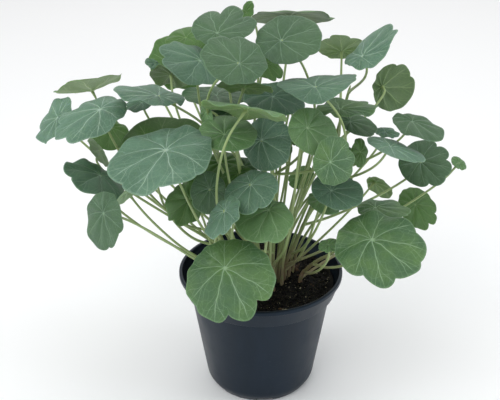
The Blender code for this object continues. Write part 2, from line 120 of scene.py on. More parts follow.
LEAVES = (
    Leaf("left_reach", (88, 117), (40, 18), 25, (101, 111), 25, "blue", cup=-0.16),
    Leaf("left_behind", (53, 119), (27, 11), 58, (58, 118), -26, "blue"),
    Leaf("left_high", (88, 86), (36, 5), 13, (92, 88), -62, "fresh_and_lit", under=True, cup=0.12),
    Leaf("left_upper", (150, 93), (36, 9), -8, (158, 97), 20, "blue"),
    Leaf("left_shade", (110, 134), (20, 15), -10, (111, 128), -30, "deep"),
    Leaf("broad_back", (166, 145), (46, 32), 5, (160, 150), 32, "deep"),
    Leaf("broad_front", (160, 158), (55, 31), 17, (166, 150), 72, "blue", cup=-0.06),
    Leaf("left_sliver", (99, 152), (17, 5), -55, (99, 151), 4, "pale"),
    Leaf("left_dark", (95, 178), (33, 15), -28, (100, 176), 26, "slate"),
    Leaf("left_hang", (103, 221), (30, 18), 92, (104, 213), 84, "dusk"),
    Leaf("left_grey", (127, 194), (16, 4), 40, (128, 193), 52, "pale"),
    Leaf("low_left", (185, 203), (25, 19), 60, (190, 199), 30, "deep"),
    Leaf("low_left_in", (209, 193), (22, 18), 90, (209, 189), 52, "dusk", nods=True),
    Leaf("low_slant", (222, 217), (24, 13), 56, (225, 211), 90, "blue"),
    Leaf("mid_front", (250, 192), (29, 21), 30, (251, 185), 68, "blue"),
    Leaf("mid_low", (264, 220), (30, 23), 0, (269, 210), 70, "fresh_and_lit"),
    Leaf("pot_front", (231, 281), (45, 43), 10, (225, 268), 92, "green", notch=0.13),
    Leaf("pot_right", (381, 247), (46, 37), -12, (372, 240), 62, "green", notch=0.13),
    Leaf("right_low", (384, 208), (27, 10), -5, (375, 208), 10, "green"),
    Leaf("right_lobe", (419, 208), (24, 17), -50, (415, 205), -32, "deep"),
    Leaf("right_round", (426, 163), (27, 24), -10, (421, 162), -22, "dusk", notch=0.26),
    Leaf("right_blade", (397, 148), (31, 8), -20, (390, 147), 32, "blue"),
    Leaf("right_upper", (419, 126), (28, 11), -20, (412, 122), 14, "dusk"),
    Leaf("right_tiny", (459, 163), (9, 5), -40, (459, 163), -34, "fresh_and_lit"),
    Leaf("right_back", (393, 87), (25, 20), 75, (382, 87), -48, "green", under=True),
    Leaf("right_flat", (347, 106), (31, 9), 0, (340, 110), 14, "green"),
    Leaf("right_fold", (359, 124), (20, 10), -20, (350, 122), -2, "dusk"),
    Leaf("right_peek", (360, 153), (15, 8), 90, (360, 152), 5, "deep", nods=True),
    Leaf("right_disc", (335, 161), (25, 21), 80, (330, 162), 66, "green", nods=True),
    Leaf("mid_disc", (314, 131), (27, 22), -40, (307, 128), 52, "fresh_and_lit"),
    Leaf("mid_dark", (275, 99), (31, 17), -8, (273, 97), 16, "slate"),
    Leaf("mid_saddle", (317, 82), (41, 14), 5, (315, 88), 42, "slate", fold=0.14),
    Leaf("mid_shade", (267, 143), (29, 24), 80, (262, 140), 36, "blue"),
    Leaf("mid_bright", (228, 132), (30, 18), -3, (224, 135), 48, "fresh_and_lit"),
    Leaf("mid_edge", (243, 110), (45, 5), -10, (246, 110), 66, "fresh_and_lit", under=True),
    Leaf("top_face", (234, 58), (34, 24), -15, (239, 64), 64, "dusk"),
    Leaf("top_left", (190, 62), (34, 18), -25, (200, 61), 30, "slate"),
    Leaf("top_crown", (224, 24), (33, 19), 10, (217, 34), 2, "dusk", notch=0.22),
    Leaf("top_lobe", (247, 11), (11, 6), 70, (246, 12), -40, "deep"),
    Leaf("top_far_left", (185, 36), (21, 9), 15, (186, 38), -52, "deep"),
    Leaf("left_olive", (170, 76), (21, 10), -10, (171, 75), -48, "deep", under=True),
    Leaf("mid_blue", (219, 93), (38, 10), 0, (216, 96), -22, "dusk"),
    Leaf("mid_lip", (245, 86), (29, 6), -5, (244, 88), 40, "blue", under=True),
    Leaf("top_right", (291, 16), (43, 7), 0, (290, 17), -58, "green", under=True),
    Leaf("top_broad", (289, 38), (34, 24), 5, (281, 41), 15, "dusk"),
    Leaf("top_olive", (341, 46), (24, 12), 0, (342, 55), -56, "fresh_and_lit", under=True),
    Leaf("top_wing", (371, 46), (31, 14), 35, (362, 57), 14, "blue", fold=0.12),
    Leaf("right_inner", (338, 190), (27, 18), -15, (331, 191), 36, "slate"),
    Leaf("right_glow", (325, 202), (18, 11), -20, (322, 200), 14, "fresh_and_lit"),
    Leaf("right_olive", (380, 187), (15, 8), -35, (372, 181), -34, "fresh_and_lit", under=True),
    Leaf("low_right", (329, 245), (11, 7), 10, (329, 245), 50, "fresh_and_lit"),
    Leaf("mid_back", (301, 177), (14, 11), 30, (302, 178), -52, "deep"),
)
print(f"{len(LEAVES)} leaves in the table")

# %% [markdown]
# ## The shape of one blade
#
# A nasturtium leaf is a shield: the stalk joins it from below, off its middle, and nine main veins
# run from there to the rim. The rim is nearly a circle, with sharp nicks between the veins at the
# tip, which split it into lobes. A sculpted mesh would look as good for one leaf, but fifty need
# a rule. So a blade is a disc of rings and spokes, and three functions give its reach, its height
# and its place in space. The small swells are what stop it from looking cut out of card: the
# blade sinks along each vein, domes between them and ripples at its rim.

# %% A blade as a function
VEINS = 9
VEIN_SINK = 0.26  # how far the blade sinks along a vein, and to how far from it, in millimetres
VEIN_REACH = 0.7
QUILTING = 0.75  # how far it domes between two veins, in millimetres
HUB_DIMPLE = 0.035  # this and the next three are in radii
DIMPLE_REACH = 0.13
HUB_LIMIT = 0.5
HUB_CENTRED = 0.06
RIPPLE = 0.075  # how high the rim's waves are in radii, how many, and how far luck turns them
RIM_WAVES = (5, 8)
RIM_TURN = 9
ROUGH_OUTLINE = 0.020  # the same for the outline
OUTLINE_WAVES = (2, 3, 5, 13)
OUTLINE_TURN = 6
SCALLOP = 0.010  # how far the outline dips between veins, in radii
NICK_WIDTH = 0.12  # in radians
NICK_SHARE = 0.55  # a nick's usual share of the leaf's notch, and how luck changes it
NICK_LUCK = 1.1
LUCKY_NUMBERS = 12


def bell(away, reach):
    """1 in the middle, and nearly nothing at twice the reach."""
    return np.exp(-((away / reach) ** 2))


class Blade:
    """A leaf's blade in space: a disc with its hub off the middle, cupped, notched and quilted."""

    def __init__(self, leaf, seed):
        self.leaf = leaf
        self.middle = placed(leaf.middle, leaf.toward)
        distance = (self.middle - VIEWER) @ AHEAD
        self.radius = leaf.half[0] * distance / VIEW_SCALE
        toward = unit(VIEWER - self.middle)
        slope = math.radians(leaf.slope)
        self.along = RIGHT * math.cos(slope) + UPWARD * math.sin(slope)
        self.along = unit(self.along - toward * (self.along @ toward))
        lean = np.cross(toward, self.along)
        tilt = math.acos(leaf.half[1] / leaf.half[0])
        seen = toward * math.cos(tilt) * (-1 if leaf.under else 1)
        self.normal = seen + lean * math.sin(tilt) * (-1 if leaf.nods else 1)
        self.across = np.cross(self.normal, self.along)
        self.hub = self.flat(self.pierced(leaf.hub))
        reach = np.linalg.norm(self.hub)
        if reach > HUB_LIMIT * self.radius:
            self.hub *= HUB_LIMIT * self.radius / reach
        centred = reach <= HUB_CENTRED * self.radius
        away = self.flat(self.middle - UPWARD) if centred else -self.hub
        self.tip = math.atan2(away[1], away[0])
        self.luck = np.random.default_rng(seed).uniform(-1, 1, LUCKY_NUMBERS)

    def pierced(self, spot):
        """Where the line of sight through this spot meets the disc's plane."""
        way = ray(spot)
        return VIEWER + way * (((self.middle - VIEWER) @ self.normal) / (way @ self.normal))

    def flat(self, points):
        """Places in the disc's own plane, from points in space."""
        offset = points - self.middle
        return np.stack([offset @ self.along, offset @ self.across], axis=-1)

    def reach(self, angle):
        """From the hub to the rim, at an angle from the tip."""
        way = np.stack([np.cos(angle + self.tip), np.sin(angle + self.tip)], axis=-1)
        lean = way @ self.hub
        rim = np.sqrt(lean**2 + self.radius**2 - self.hub @ self.hub) - lean
        dip = SCALLOP * (0.5 - 0.5 * np.cos(VEINS * angle))
        for number in range(VEINS):
            nick = (number + 0.5) * 2 * math.pi / VEINS
            apart = np.abs((angle - nick + math.pi) % (2 * math.pi) - math.pi)
            depth = self.leaf.notch * max(0.0, math.cos(nick))
            depth *= max(0.0, NICK_SHARE + NICK_LUCK * self.luck[number])
            dip = dip + depth * np.exp(-apart / NICK_WIDTH)
        uneven = sum(
            self.luck[k] * np.sin(turns * angle + OUTLINE_TURN * self.luck[k + 4])
            for k, turns in enumerate(OUTLINE_WAVES)
        )
        return rim * (1 - dip + ROUGH_OUTLINE * uneven)

    def height(self, share, angle):
        """How far the blade stands off its plane, at a share of the way from hub to rim."""
        bend = self.leaf.cup * (share**2 - 0.5)
        bend += self.leaf.fold * share**2 * np.cos(2 * (angle + self.tip))
        bend -= HUB_DIMPLE * bell(share, DIMPLE_REACH)
        few, many = RIM_WAVES
        wave = np.sin(few * angle + RIM_TURN * self.luck[8])
        wave = wave + 0.8 * np.sin(many * angle + RIM_TURN * self.luck[9])
        bend += RIPPLE * self.luck[10] * share**3 * wave
        from_vein = np.abs((VEINS * angle / (2 * math.pi) + 0.5) % 1 - 0.5)
        out = from_vein * 2 * math.pi / VEINS * share * self.radius
        sink = -VEIN_SINK * bell(out, VEIN_REACH) * (1 - 0.5 * share)
        dome = QUILTING * np.sin(math.pi * from_vein) ** 2 * np.sin(math.pi * share**1.3)
        return self.radius * bend + sink + dome

    def points(self, share, angle, lift=0.0):
        """Points of the blade, at shares of the way from hub to rim and angles from the tip."""
        out = share * self.reach(angle)
        east = self.hub[0] + out * np.cos(angle + self.tip)
        north = self.hub[1] + out * np.sin(angle + self.tip)
        up = self.height(share, angle) + lift
        shift = np.stack([east, north, up], axis=-1)
        return self.middle + shift @ np.array([self.along, self.across, self.normal])

    def meets(self, line, gap):
        """Whether a line of points comes within a gap of the blade, or goes through it."""
        offset = self.flat(line) - self.hub
        angle = np.arctan2(offset[:, 1], offset[:, 0]) - self.tip
        share = np.linalg.norm(offset, axis=-1) / self.reach(angle)
        lift = (line - self.middle) @ self.normal - self.height(share.clip(0, 1.2), angle)
        over = share < 1 + gap / self.radius
        through = over[1:] & over[:-1] & (lift[1:] * lift[:-1] < 0)
        return bool((over & (np.abs(lift) < gap)).any() or through.any())


FIRST_SEED = 480
BLADES = [Blade(leaf, FIRST_SEED + number) for number, leaf in enumerate(LEAVES)]
widest = max(BLADES, key=lambda blade: blade.radius)
print(f"the widest blade is {widest.leaf.name}, {2 * widest.radius:.0f} mm across")

# %% [markdown]
# ## Where the stalks run
#
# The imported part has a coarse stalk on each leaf, a tube of a few rings that was already led clear
# of every other leaf. Its rings are small knots of vertices far from each other, so their middles
# give the stalk's line back. A smooth curve through them is all that the fine stalk needs.

# %% Read a stalk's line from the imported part
KNOT = 3.2  # vertices this near each other belong to one ring
KNOT_POINTS = 4  # fewer than this are no ring
COARSE_DEPTH = 0.16  # how far the coarse blade may lie below its disc, in radii
COARSE_SLACK = 1.6  # and in millimetres
COARSE_REACH = 1.04  # how far out the coarse blade goes, in radii


def ring_middles(points):
    """The middles of the knots of points, in the order that they lie along the stalk."""
    knots = []
    for point in points:
        near = [knot for knot in knots if np.linalg.norm(np.mean(knot, axis=0) - point) < KNOT]
        if near:
            near[0].append(point)
        else:
            knots.append([point])
    left = [np.mean(knot, axis=0) for knot in knots if len(knot) >= KNOT_POINTS]
    left.sort(key=lambda middle: middle[2])
    line = [left.pop(0)]
    while left:
        nearest = min(left, key=lambda middle: np.linalg.norm(middle - line[-1]))
        left = [middle for middle in left if middle is not nearest]
        line.append(nearest)
    return line


def smooth_line(points, count):
    """A smooth line through a few points, as evenly numbered points along it."""
    knots = np.asarray(points, float)
    ends = np.vstack([2 * knots[0] - knots[1], knots, 2 * knots[-1] - knots[-2]])
    steps = np.linspace(0, len(knots) - 1, count)
    first = np.minimum(steps.astype(int), len(knots) - 2)
    t = (steps - first)[:, None]
    a, b, c, d = (ends[first + k] for k in range(4))
    return 0.5 * (2 * b + (c - a) * t + (2 * a - 5 * b + 4 * c - d) * t**2
                  + (3 * b - a - 3 * c + d) * t**3)


def node_points(name):
    return np.array([vertex.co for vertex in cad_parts[name].data.vertices]) / MM


def stalk_line(blade):
    """From a leaf's stem to its hub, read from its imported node."""
    points = node_points(blade.leaf.name)
    offset = (points - blade.middle) @ blade.normal
    below = offset < -COARSE_DEPTH * blade.radius - COARSE_SLACK
    outside = np.linalg.norm(blade.flat(points), axis=-1) > COARSE_REACH * blade.radius
    return ring_middles(points[below | outside])


print(f"the stalk of {widest.leaf.name} has {len(stalk_line(widest))} rings in the packed part")

# %% [markdown]
# ## Meshes from rings
#
# A blade, a stalk, a stem and the soil are all rows of rings joined to the next ring. One helper
# joins rings into faces, and another keeps a tube's rings square to its line without twisting, by
# carrying the same side along from ring to ring. Every mesh also gets a map that says where on the
# piece a point is, because the vein pattern has to follow the blade and not the room.

# %% Rings and tubes
ODD_WAY = (0.31, 0.87, 0.12)  # a direction that no stalk takes


def shown(name, data):
    """An object in the scene that shows this mesh, lamp or camera."""
    made = bpy.data.objects.new(name, data)
    bpy.context.scene.collection.objects.link(made)
    return made


def turns_round(count):
    """Evenly spaced angles for once round, without the first one again at the end."""
    return np.linspace(0, 2 * math.pi, count, endpoint=False)


def band(first, second):
    """The faces between two rings of vertex numbers. A ring may be a single point."""
    count = max(len(first), len(second))
    faces = []
    for k in range(count):
        after = (k + 1) % count
        corners = [ring[spot % len(ring)] for ring, spot in
                   ((first, k), (first, after), (second, after), (second, k))]
        faces.append(tuple(dict.fromkeys(corners)))
    return faces


def tube(line, radii, sides):
    """Rings of points round a line, with a radius at each of its points."""
    ahead = np.gradient(line, axis=0)
    ahead /= np.linalg.norm(ahead, axis=1, keepdims=True)
    side = unit(np.cross(ahead[0], ODD_WAY))
    turns = turns_round(sides)
    rings = []
    for middle, way, radius in zip(line, ahead, radii):
        side = unit(side - way * (side @ way))
        other = np.cross(way, side)
        spread = np.cos(turns)[:, None] * side + np.sin(turns)[:, None] * other
        rings.append(middle + spread * radius)
    return np.array(rings)


print(f"a band between two rings of twelve points has {len(band(range(12), range(12, 24)))} faces")

# %% A mesh in the making
MAP = "place on piece"


class Build:
    """Collects points, faces and map places until they become one mesh object."""

    def __init__(self):
        self.points, self.places, self.faces, self.kinds = [], [], [], []

    def add(self, points, places):
        """Adds points with their map places, and returns their vertex numbers."""
        start = len(self.points)
        self.points.extend(points)
        self.places.extend(places)
        return list(range(start, len(self.points)))

    def join(self, faces, kind=0):
        self.faces.extend(faces)
        self.kinds.extend([kind] * len(faces))

    def skin(self, rows, kind=0, flip=False):
        """Joins each row of vertex numbers to the next. A row of one point closes an end."""
        for first, second in zip(rows, rows[1:]):
            faces = band(first, second)
            self.join([face[::-1] for face in faces] if flip else faces, kind)

    def made(self, name, materials):
        mesh = bpy.data.meshes.new(name)
        mesh.from_pydata(np.array(self.points) * MM, [], self.faces)
        layer = mesh.uv_layers.new(name=MAP)
        corners = np.empty(len(mesh.loops), np.int32)
        mesh.loops.foreach_get("vertex_index", corners)
        layer.data.foreach_set("uv", np.array(self.places, np.float32)[corners].ravel())
        for material in materials:
            mesh.materials.append(material)
        mesh.polygons.foreach_set("material_index", self.kinds)
        mesh.shade_smooth()
        return shown(name, mesh)


print(f"a new build has {len(Build().points)} points")

# %% [markdown]
# ## Writing shader formulas as one line
#
# A shader made by script is a long list of nodes and wires, which hides the idea. The small class
# below adds a node, sets its inputs and returns its output, so that a pattern reads like the
# formula that it is. The same class fills a material and a node group.

# %% A shorthand for node trees
SOCKETS = {"value": "NodeSocketFloat", "colour": "NodeSocketColor", "place": "NodeSocketVector"}


class Wiring:
    """Adds nodes to one tree, so that a formula reads in one line."""

    def __init__(self, tree):
        self.tree = tree

    def feed(self, node, inputs):
        """Sets each of the inputs to a plain value, or joins it to another node's output."""
        for name, value in inputs.items():
            socket = node.inputs[name]
            if isinstance(value, bpy.types.NodeSocket):
                self.tree.links.new(value, socket)
            else:
                socket.default_value = value

    def node(self, kind, inputs, **settings):
        """Adds a node and gives its outputs."""
        made = self.tree.nodes.new(kind)
        for name, value in settings.items():
            setattr(made, name, value)
        self.feed(made, inputs)
        return made.outputs

    def math(self, operation, *values, clamp=False):
        inputs = dict(enumerate(values))
        return self.node("ShaderNodeMath", inputs, operation=operation, use_clamp=clamp)[0]

    def times(self, first, second, clamp=False):
        return self.math("MULTIPLY", first, second, clamp=clamp)

    def vector(self, operation, inputs):
        return self.node("ShaderNodeVectorMath", inputs, operation=operation)

    def axes(self, place):
        return self.node("ShaderNodeSeparateXYZ", {0: place})

    def joined(self, x, y, z):
        return self.node("ShaderNodeCombineXYZ", {0: x, 1: y, 2: z})[0]

    def mix(self, share, first, second, blend="MIX"):
        return self.node("ShaderNodeMix", {0: share, 6: first, 7: second},
                         data_type="RGBA", blend_type=blend)[2]

    def shaded(self, colour, grey):
        """A colour made darker or lighter by a number near 1."""
        grey = self.node("ShaderNodeCombineColor", {0: grey, 1: grey, 2: grey})[0]
        return self.mix(1.0, colour, grey, "MULTIPLY")

    def noise(self, place, scale, detail=2.0, roughness=0.5):
        return self.node("ShaderNodeTexNoise", {
            "Vector": place, "Scale": scale, "Detail": detail, "Roughness": roughness})[0]

    def ramp(self, value, low, high, to_low=0.0, to_high=1.0):
        """A smooth step from to_low to to_high as value goes from low to high."""
        return self.node("ShaderNodeMapRange", {
            "Value": value, "From Min": low, "From Max": high, "To Min": to_low,
            "To Max": to_high}, interpolation_type="SMOOTHSTEP")[0]

    def group(self, tree, inputs):
        return self.node("ShaderNodeGroup", inputs, node_tree=tree)

    def place_on_piece(self):
        return self.node("ShaderNodeUVMap", {}, uv_map=MAP)[0]

    def place_in_room(self):
        return self.node("ShaderNodeTexCoord", {})["Object"]

    def paint(self, colour, roughness, height, strength, distance):
        """Gives a material its colour, its roughness and a bump so many millimetres deep."""
        bump = self.node("ShaderNodeBump", {
            "Strength": strength, "Distance": distance * MM, "Height": height})[0]
        self.feed(self.tree.nodes["Principled BSDF"], {
            "Base Color": colour, "Roughness": roughness, "Normal": bump})


print(f"sockets carry one of {len(SOCKETS)} things: {', '.join(SOCKETS)}")

# %% New groups and materials
def new_group(name, takes, gives):
    """A node group with named sockets, its wiring and what it is given."""
    tree = bpy.data.node_groups.new(name, "ShaderNodeTree")
    for way, sockets in (("INPUT", takes), ("OUTPUT", gives)):
        for socket, kind in sockets.items():
            tree.interface.new_socket(socket, in_out=way, socket_type=SOCKETS[kind])
    return tree, Wiring(tree), tree.nodes.new("NodeGroupInput").outputs


def end_group(wiring, results):
    wiring.feed(wiring.tree.nodes.new("NodeGroupOutput"), results)


def new_material(name, values):
    """A material whose Principled BSDF has these plain values, and its wiring."""
    made = bpy.data.materials.new(name)
    made.use_nodes = True
    wiring = Wiring(made.node_tree)
    wiring.feed(made.node_tree.nodes["Principled BSDF"], values)
    return made, wiring


print("groups and materials can be made")

# %% [markdown]
# ## The vein pattern
#
# Nine pale veins leave the hub. Each forks past the middle of the blade, the forks bend towards
# the next vein's, and a fine net fills the rest. An image could hold this, but a formula stays
# sharp at any size and fits every leaf. The trick is to fold the angle round the hub, so that all
# nine sectors share one sector's drawing. A vein is then a thin line in that sector.

# %% The group that draws veins
def vein_line(w, from_middle, offset, reach, width):
    """A line in the folded sector, at an angle from its main vein, as a mask from 0 to 1."""
    apart = w.math("ABSOLUTE", w.math("SUBTRACT", from_middle, offset))
    return w.ramp(w.times(apart, reach), w.times(width, 0.30), width, 1.0, 0.0)


def net(w, place, scale, width, weight):
    """The edges of a Voronoi pattern's cells, as a mask."""
    cells = w.node("ShaderNodeTexVoronoi", {"Vector": place, "Scale": scale, "Randomness": 0.9},
                   feature="DISTANCE_TO_EDGE")["Distance"]
    return w.ramp(cells, 0.0, width, weight, 0.0)


veins_group, w, given = new_group(
    "leaf veins",
    {"Place": "place", "Width": "value", "Wander": "value"},
    {"Main": "value", "Fine": "value", "Rim": "value", "Hub": "value"},
)
shift = w.node("ShaderNodeTexNoise", {"Vector": given["Place"], "Scale": 2.2, "Detail": 2.0})
wander = w.vector("SUBTRACT", {0: shift["Color"], 1: (0.5, 0.5, 0.5)})[0]
wander = w.vector("SCALE", {0: wander, "Scale": given["Wander"]})[0]
moved = w.vector("ADD", {0: given["Place"], 1: wander})[0]
share = w.vector("LENGTH", {0: given["Place"]})["Value"]
axes = w.axes(moved)
angle = w.math("ARCTAN2", axes[1], axes[0])
bend = w.times(w.math("SINE", angle), w.times(share, 0.17))
turn = w.times(w.math("ADD", angle, bend), VEINS / (2 * math.pi))
fold = w.math("ABSOLUTE", w.math("SUBTRACT", turn, w.math("ROUND", turn)))
sector = w.times(fold, 2 * math.pi / VEINS)
thin = w.times(given["Width"], w.ramp(share, 0.0, 1.0, 0.95, 0.55))
main = w.times(vein_line(w, sector, 0.0, share, thin), w.ramp(share, 0.80, 0.97, 1.0, 0.25))
for start, spread, weight in ((0.52, 0.200, 0.50), (0.24, 0.300, 0.20)):
    away = w.times(w.ramp(share, start, 1.02), spread)
    fork = vein_line(w, sector, away, share, w.times(thin, 0.72))
    fork = w.times(fork, w.ramp(share, start, start + 0.05, 0.0, weight))
    main = w.math("MAXIMUM", main, fork)
fine = net(w, moved, 4.6, 0.034, 1.0)
for scale, width, weight in ((12.0, 0.055, 0.55), (34.0, 0.08, 0.28)):
    fine = w.math("MAXIMUM", fine, net(w, moved, scale, width, weight))
end_group(w, {"Main": main, "Fine": fine, "Rim": w.ramp(share, 0.955, 0.995),
              "Hub": w.ramp(share, 0.018, 0.075, 1.0, 0.0)})
print(f"the vein group has {len(veins_group.nodes)} nodes")

# %% [markdown]
# ## The skin of a leaf
#
# Both faces of a blade use the same recipe with other numbers. A soft patchiness mixes two greens,
# the veins and the rim are paler, and the tissue beside a vein is a touch lighter too. Height
# rises in the cells of the net and falls along the veins on top, and the other way round below.

# %% The group that colours leaf skin
WANDER = 0.13
HALO = 4.5  # width of the paler tissue along a vein, in vein widths

skin_group, w, given = new_group(
    "leaf skin",
    {"Place": "place", "Room": "place", "Green": "colour", "Patch": "colour", "Vein": "colour",
     "Vein Width": "value", "Vein Strength": "value", "Vein Relief": "value"},
    {"Colour": "colour", "Roughness": "value", "Height": "value"},
)
strength, relief = given["Vein Strength"], given["Vein Relief"]
veins, halo = (
    w.group(veins_group, {"Place": given["Place"], "Width": width, "Wander": WANDER})
    for width in (given["Vein Width"], w.times(given["Vein Width"], HALO))
)
patches = w.ramp(w.noise(given["Room"], 42.0, 3.0, 0.55), 0.36, 0.66)
speckle = w.noise(given["Room"], 900.0, 3.0, 0.6)
line = w.times(veins["Main"], strength, clamp=True)
colour = w.mix(patches, given["Green"], given["Patch"])
colour = w.shaded(colour, w.ramp(speckle, 0.35, 0.75, 0.93, 1.07))
for paler in (
    w.times(halo["Main"], w.times(strength, 0.10)),
    w.times(veins["Fine"], w.times(strength, 0.24)),
    line,
    w.times(veins["Rim"], 0.25),
    w.times(veins["Hub"], 0.85),
):
    colour = w.mix(paler, colour, given["Vein"])
rough = w.math("ADD", w.ramp(speckle, 0.3, 0.7, 0.50, 0.60), w.times(line, -0.08))
height = w.math("ADD", w.times(veins["Main"], relief),
                w.times(veins["Fine"], w.times(relief, 0.35)))
height = w.math("ADD", height, w.times(speckle, 0.25))
end_group(w, {"Colour": colour, "Roughness": rough, "Height": height})
print(f"the skin group has {len(skin_group.nodes)} nodes")

# %% [markdown]
# ## Seven greens and two undersides
#
# The plant is not one green. Leaves with a full coat of wax look blue-grey, old ones dark, and
# young ones and shaded ones a fresh deep green. The greens are also painted light and shade, since
# each was fitted to how bright its leaves look: the darker tops and the darker underside paint
# shade, and the brighter ones paint light. Light also passes through such a thin blade, so each
# material lets some of it wander below the surface. A touch of sheen gives the waxy bloom.

# %% Leaf materials
def plain(red, green, blue):
    """A colour for a shader, from the 0 to 255 numbers that a screen shows."""
    def linear(value):
        value /= 255
        return value / 12.92 if value <= 0.04045 else ((value + 0.055) / 1.055) ** 2.4
    return (linear(red), linear(green), linear(blue), 1.0)


def leaf_material(name, green, patch, vein, strength, vein_width, relief, through):
    made, w = new_material(name, {
        "Subsurface Weight": through, "Subsurface Scale": 0.0009,
        "Subsurface Radius": (0.7, 1.0, 0.25), "Sheen Weight": 0.05, "Sheen Roughness": 0.45,
        "Sheen Tint": plain(205, 222, 225), "Specular IOR Level": 0.42})
    skin = w.group(skin_group, {
        "Place": w.place_on_piece(), "Room": w.place_in_room(), "Green": green, "Patch": patch,
        "Vein": vein, "Vein Width": vein_width, "Vein Strength": strength,
        "Vein Relief": relief})
    w.paint(skin["Colour"], skin["Roughness"], skin["Height"], 0.5, 0.25)
    return made


# Fitted to how bright each leaf looks: besides the leaves' own greens, the darker tones paint shade
# and the brighter ones paint light.
TONES = {  # the two greens, the veins and how strongly the veins show
    "blue": (plain(76, 110, 86), plain(92, 126, 102), plain(164, 188, 168), 0.80),
    "slate": (plain(67, 100, 76), plain(78, 112, 86), plain(142, 168, 146), 0.62),
    "dusk": (plain(58, 89, 58), plain(70, 101, 67), plain(132, 158, 132), 0.60),
    "green": (plain(66, 101, 63), plain(84, 118, 63), plain(150, 178, 142), 0.80),
    "fresh_and_lit": (plain(86, 121, 75), plain(98, 134, 84), plain(154, 180, 140), 0.72),
    "deep": (plain(64, 101, 38), plain(72, 110, 48), plain(126, 154, 100), 0.52),
    "pale": (plain(128, 152, 116), plain(140, 162, 128), plain(176, 194, 162), 0.50),
}
# The undersides were fitted the same way: the darker one is partly painted shade, and the lighter
# one is partly painted light.
UNDER_TONES = {
    "fresh_and_lit": (plain(110, 138, 84), plain(120, 146, 98), plain(158, 178, 128), 0.75),
    "old": (plain(74, 100, 58), plain(86, 110, 68), plain(128, 150, 100), 0.75),
}
# Leaves in these darker tones, which are partly painted shade, get the darker underside.
OLD_AND_SHADED_TONES = ("green", "dusk", "deep", "slate")
TOPS = {
    tone: leaf_material("leaf top " + tone, *greens, vein_width=0.014, relief=-1.0, through=0.25)
    for tone, greens in TONES.items()
}
UNDERSIDES = {
    tone: leaf_material("leaf underside " + tone, *greens, vein_width=0.018, relief=1.2,
                        through=0.35)
    for tone, greens in UNDER_TONES.items()
}
print(f"{len(TOPS) + len(UNDERSIDES)} leaf materials")

# %% [markdown]
# ## Stalks and stems
#
# The stalks are pale green above and flush with brown and pink near the soil, where light has
# burnt them. The flush fades with height, and each material says how high up it ends. Faint
# lengthwise ribs come from noise that changes quickly round the stalk and slowly along it, which
# the map's two numbers follow.

# %% The stalk material
FLUSH_FROM = 0.080  # height in metres below which the flush is full

flush_group, w, given = new_group(
    "stalk skin",
    {"Place": "place", "Room": "place", "Green": "colour", "Flush": "colour",
     "Flush Until": "value"},
    {"Colour": "colour", "Roughness": "value", "Height": "value"},
)
along = w.axes(given["Place"])
height = w.axes(given["Room"])[2]
fade = w.ramp(height, FLUSH_FROM, given["Flush Until"], 1.0, 0.0)
blotch = w.noise(given["Room"], 160.0, 3.0, 0.6)
fade = w.times(fade, w.ramp(blotch, 0.25, 0.62, 0.45, 1.0))
colour = w.mix(fade, given["Green"], given["Flush"])
ribs = w.noise(w.joined(w.times(along[0], 5.0), w.times(along[1], 1.2), height), 3.0)
colour = w.shaded(colour, w.ramp(ribs, 0.3, 0.7, 0.86, 1.08))
rough = w.ramp(blotch, 0.3, 0.7, 0.38, 0.52)
end_group(w, {"Colour": colour, "Roughness": rough, "Height": ribs})


def stalk_material(name, green, flush, flush_until):
    made, w = new_material(name, {
        "Subsurface Weight": 0.20, "Subsurface Scale": 0.001,
        "Subsurface Radius": (0.9, 1.0, 0.3), "Specular IOR Level": 0.5})
    skin = w.group(flush_group, {
        "Place": w.place_on_piece(), "Room": w.place_in_room(), "Green": green, "Flush": flush,
        "Flush Until": flush_until})
    w.paint(skin["Colour"], skin["Roughness"], skin["Height"], 0.4, 0.15)
    return made


STALK = stalk_material("leaf stalk", plain(148, 168, 112), plain(162, 142, 116), 0.125)
STEM = stalk_material("stem", plain(128, 148, 92), plain(142, 116, 98), 0.135)
print("stalk and stem materials are ready")

# %% [markdown]
# ## Making the leaves
#
# Each leaf is one mesh of three skins: the top, the underside and the stalk. The top and the
# underside are the same rings a third of a millimetre apart, and they meet in a rounded rim. Rings
# stand closer near the rim, where the outline and the ripples need them. The stalk widens where
# it enters the blade, and its lower end runs on a little, so that it reaches into its stem.

# %% The mesh of a blade
SPOKES = VEINS * 12
RINGS = 20
RING_SPREAD = 0.88  # below 1, rings stand closer near the rim
THICKNESS = 0.36
RIM_SHARE = 0.45  # how thick the last ring is, as a share of the blade's thickness


def add_blade(build, blade):
    """The top and the underside, each of rings round the hub, and the edge that joins them."""
    angles = np.linspace(-math.pi, math.pi, SPOKES, endpoint=False)
    rims = []
    for kind, lift in enumerate((THICKNESS / 2, -THICKNESS / 2)):
        rows = [build.add([blade.points(np.float64(0), np.float64(0), lift)], [(0, 0)])]
        for share in np.linspace(0, 1, RINGS + 1)[1:] ** RING_SPREAD:
            off = lift if share < 1 else lift * RIM_SHARE
            points = blade.points(np.full(SPOKES, share), angles, off)
            places = np.stack([share * np.cos(angles), share * np.sin(angles)], axis=-1)
            rows.append(build.add(points, places))
        build.skin(rows, kind, flip=kind == 0)
        rims.append(rows[-1])
    build.join(band(rims[1], rims[0]))


print(f"a blade has {2 * SPOKES * (RINGS - 1) + 3 * SPOKES} faces")

# %% The mesh of a stalk
STALK_RADIUS = 0.95
STALK_WIDE = 1.12  # its width at the stem and how much it tapers, in stalk radii
STALK_TAPER = 0.34
FLARE_AT_BLADE = (0.55, 0.03)  # how much wider it gets, and over what share of its length
FLARE_AT_STEM = (0.35, 0.05)
STALK_POINTS = 44
STALK_SIDES = 12
REACH_INTO_STEM = 2.2


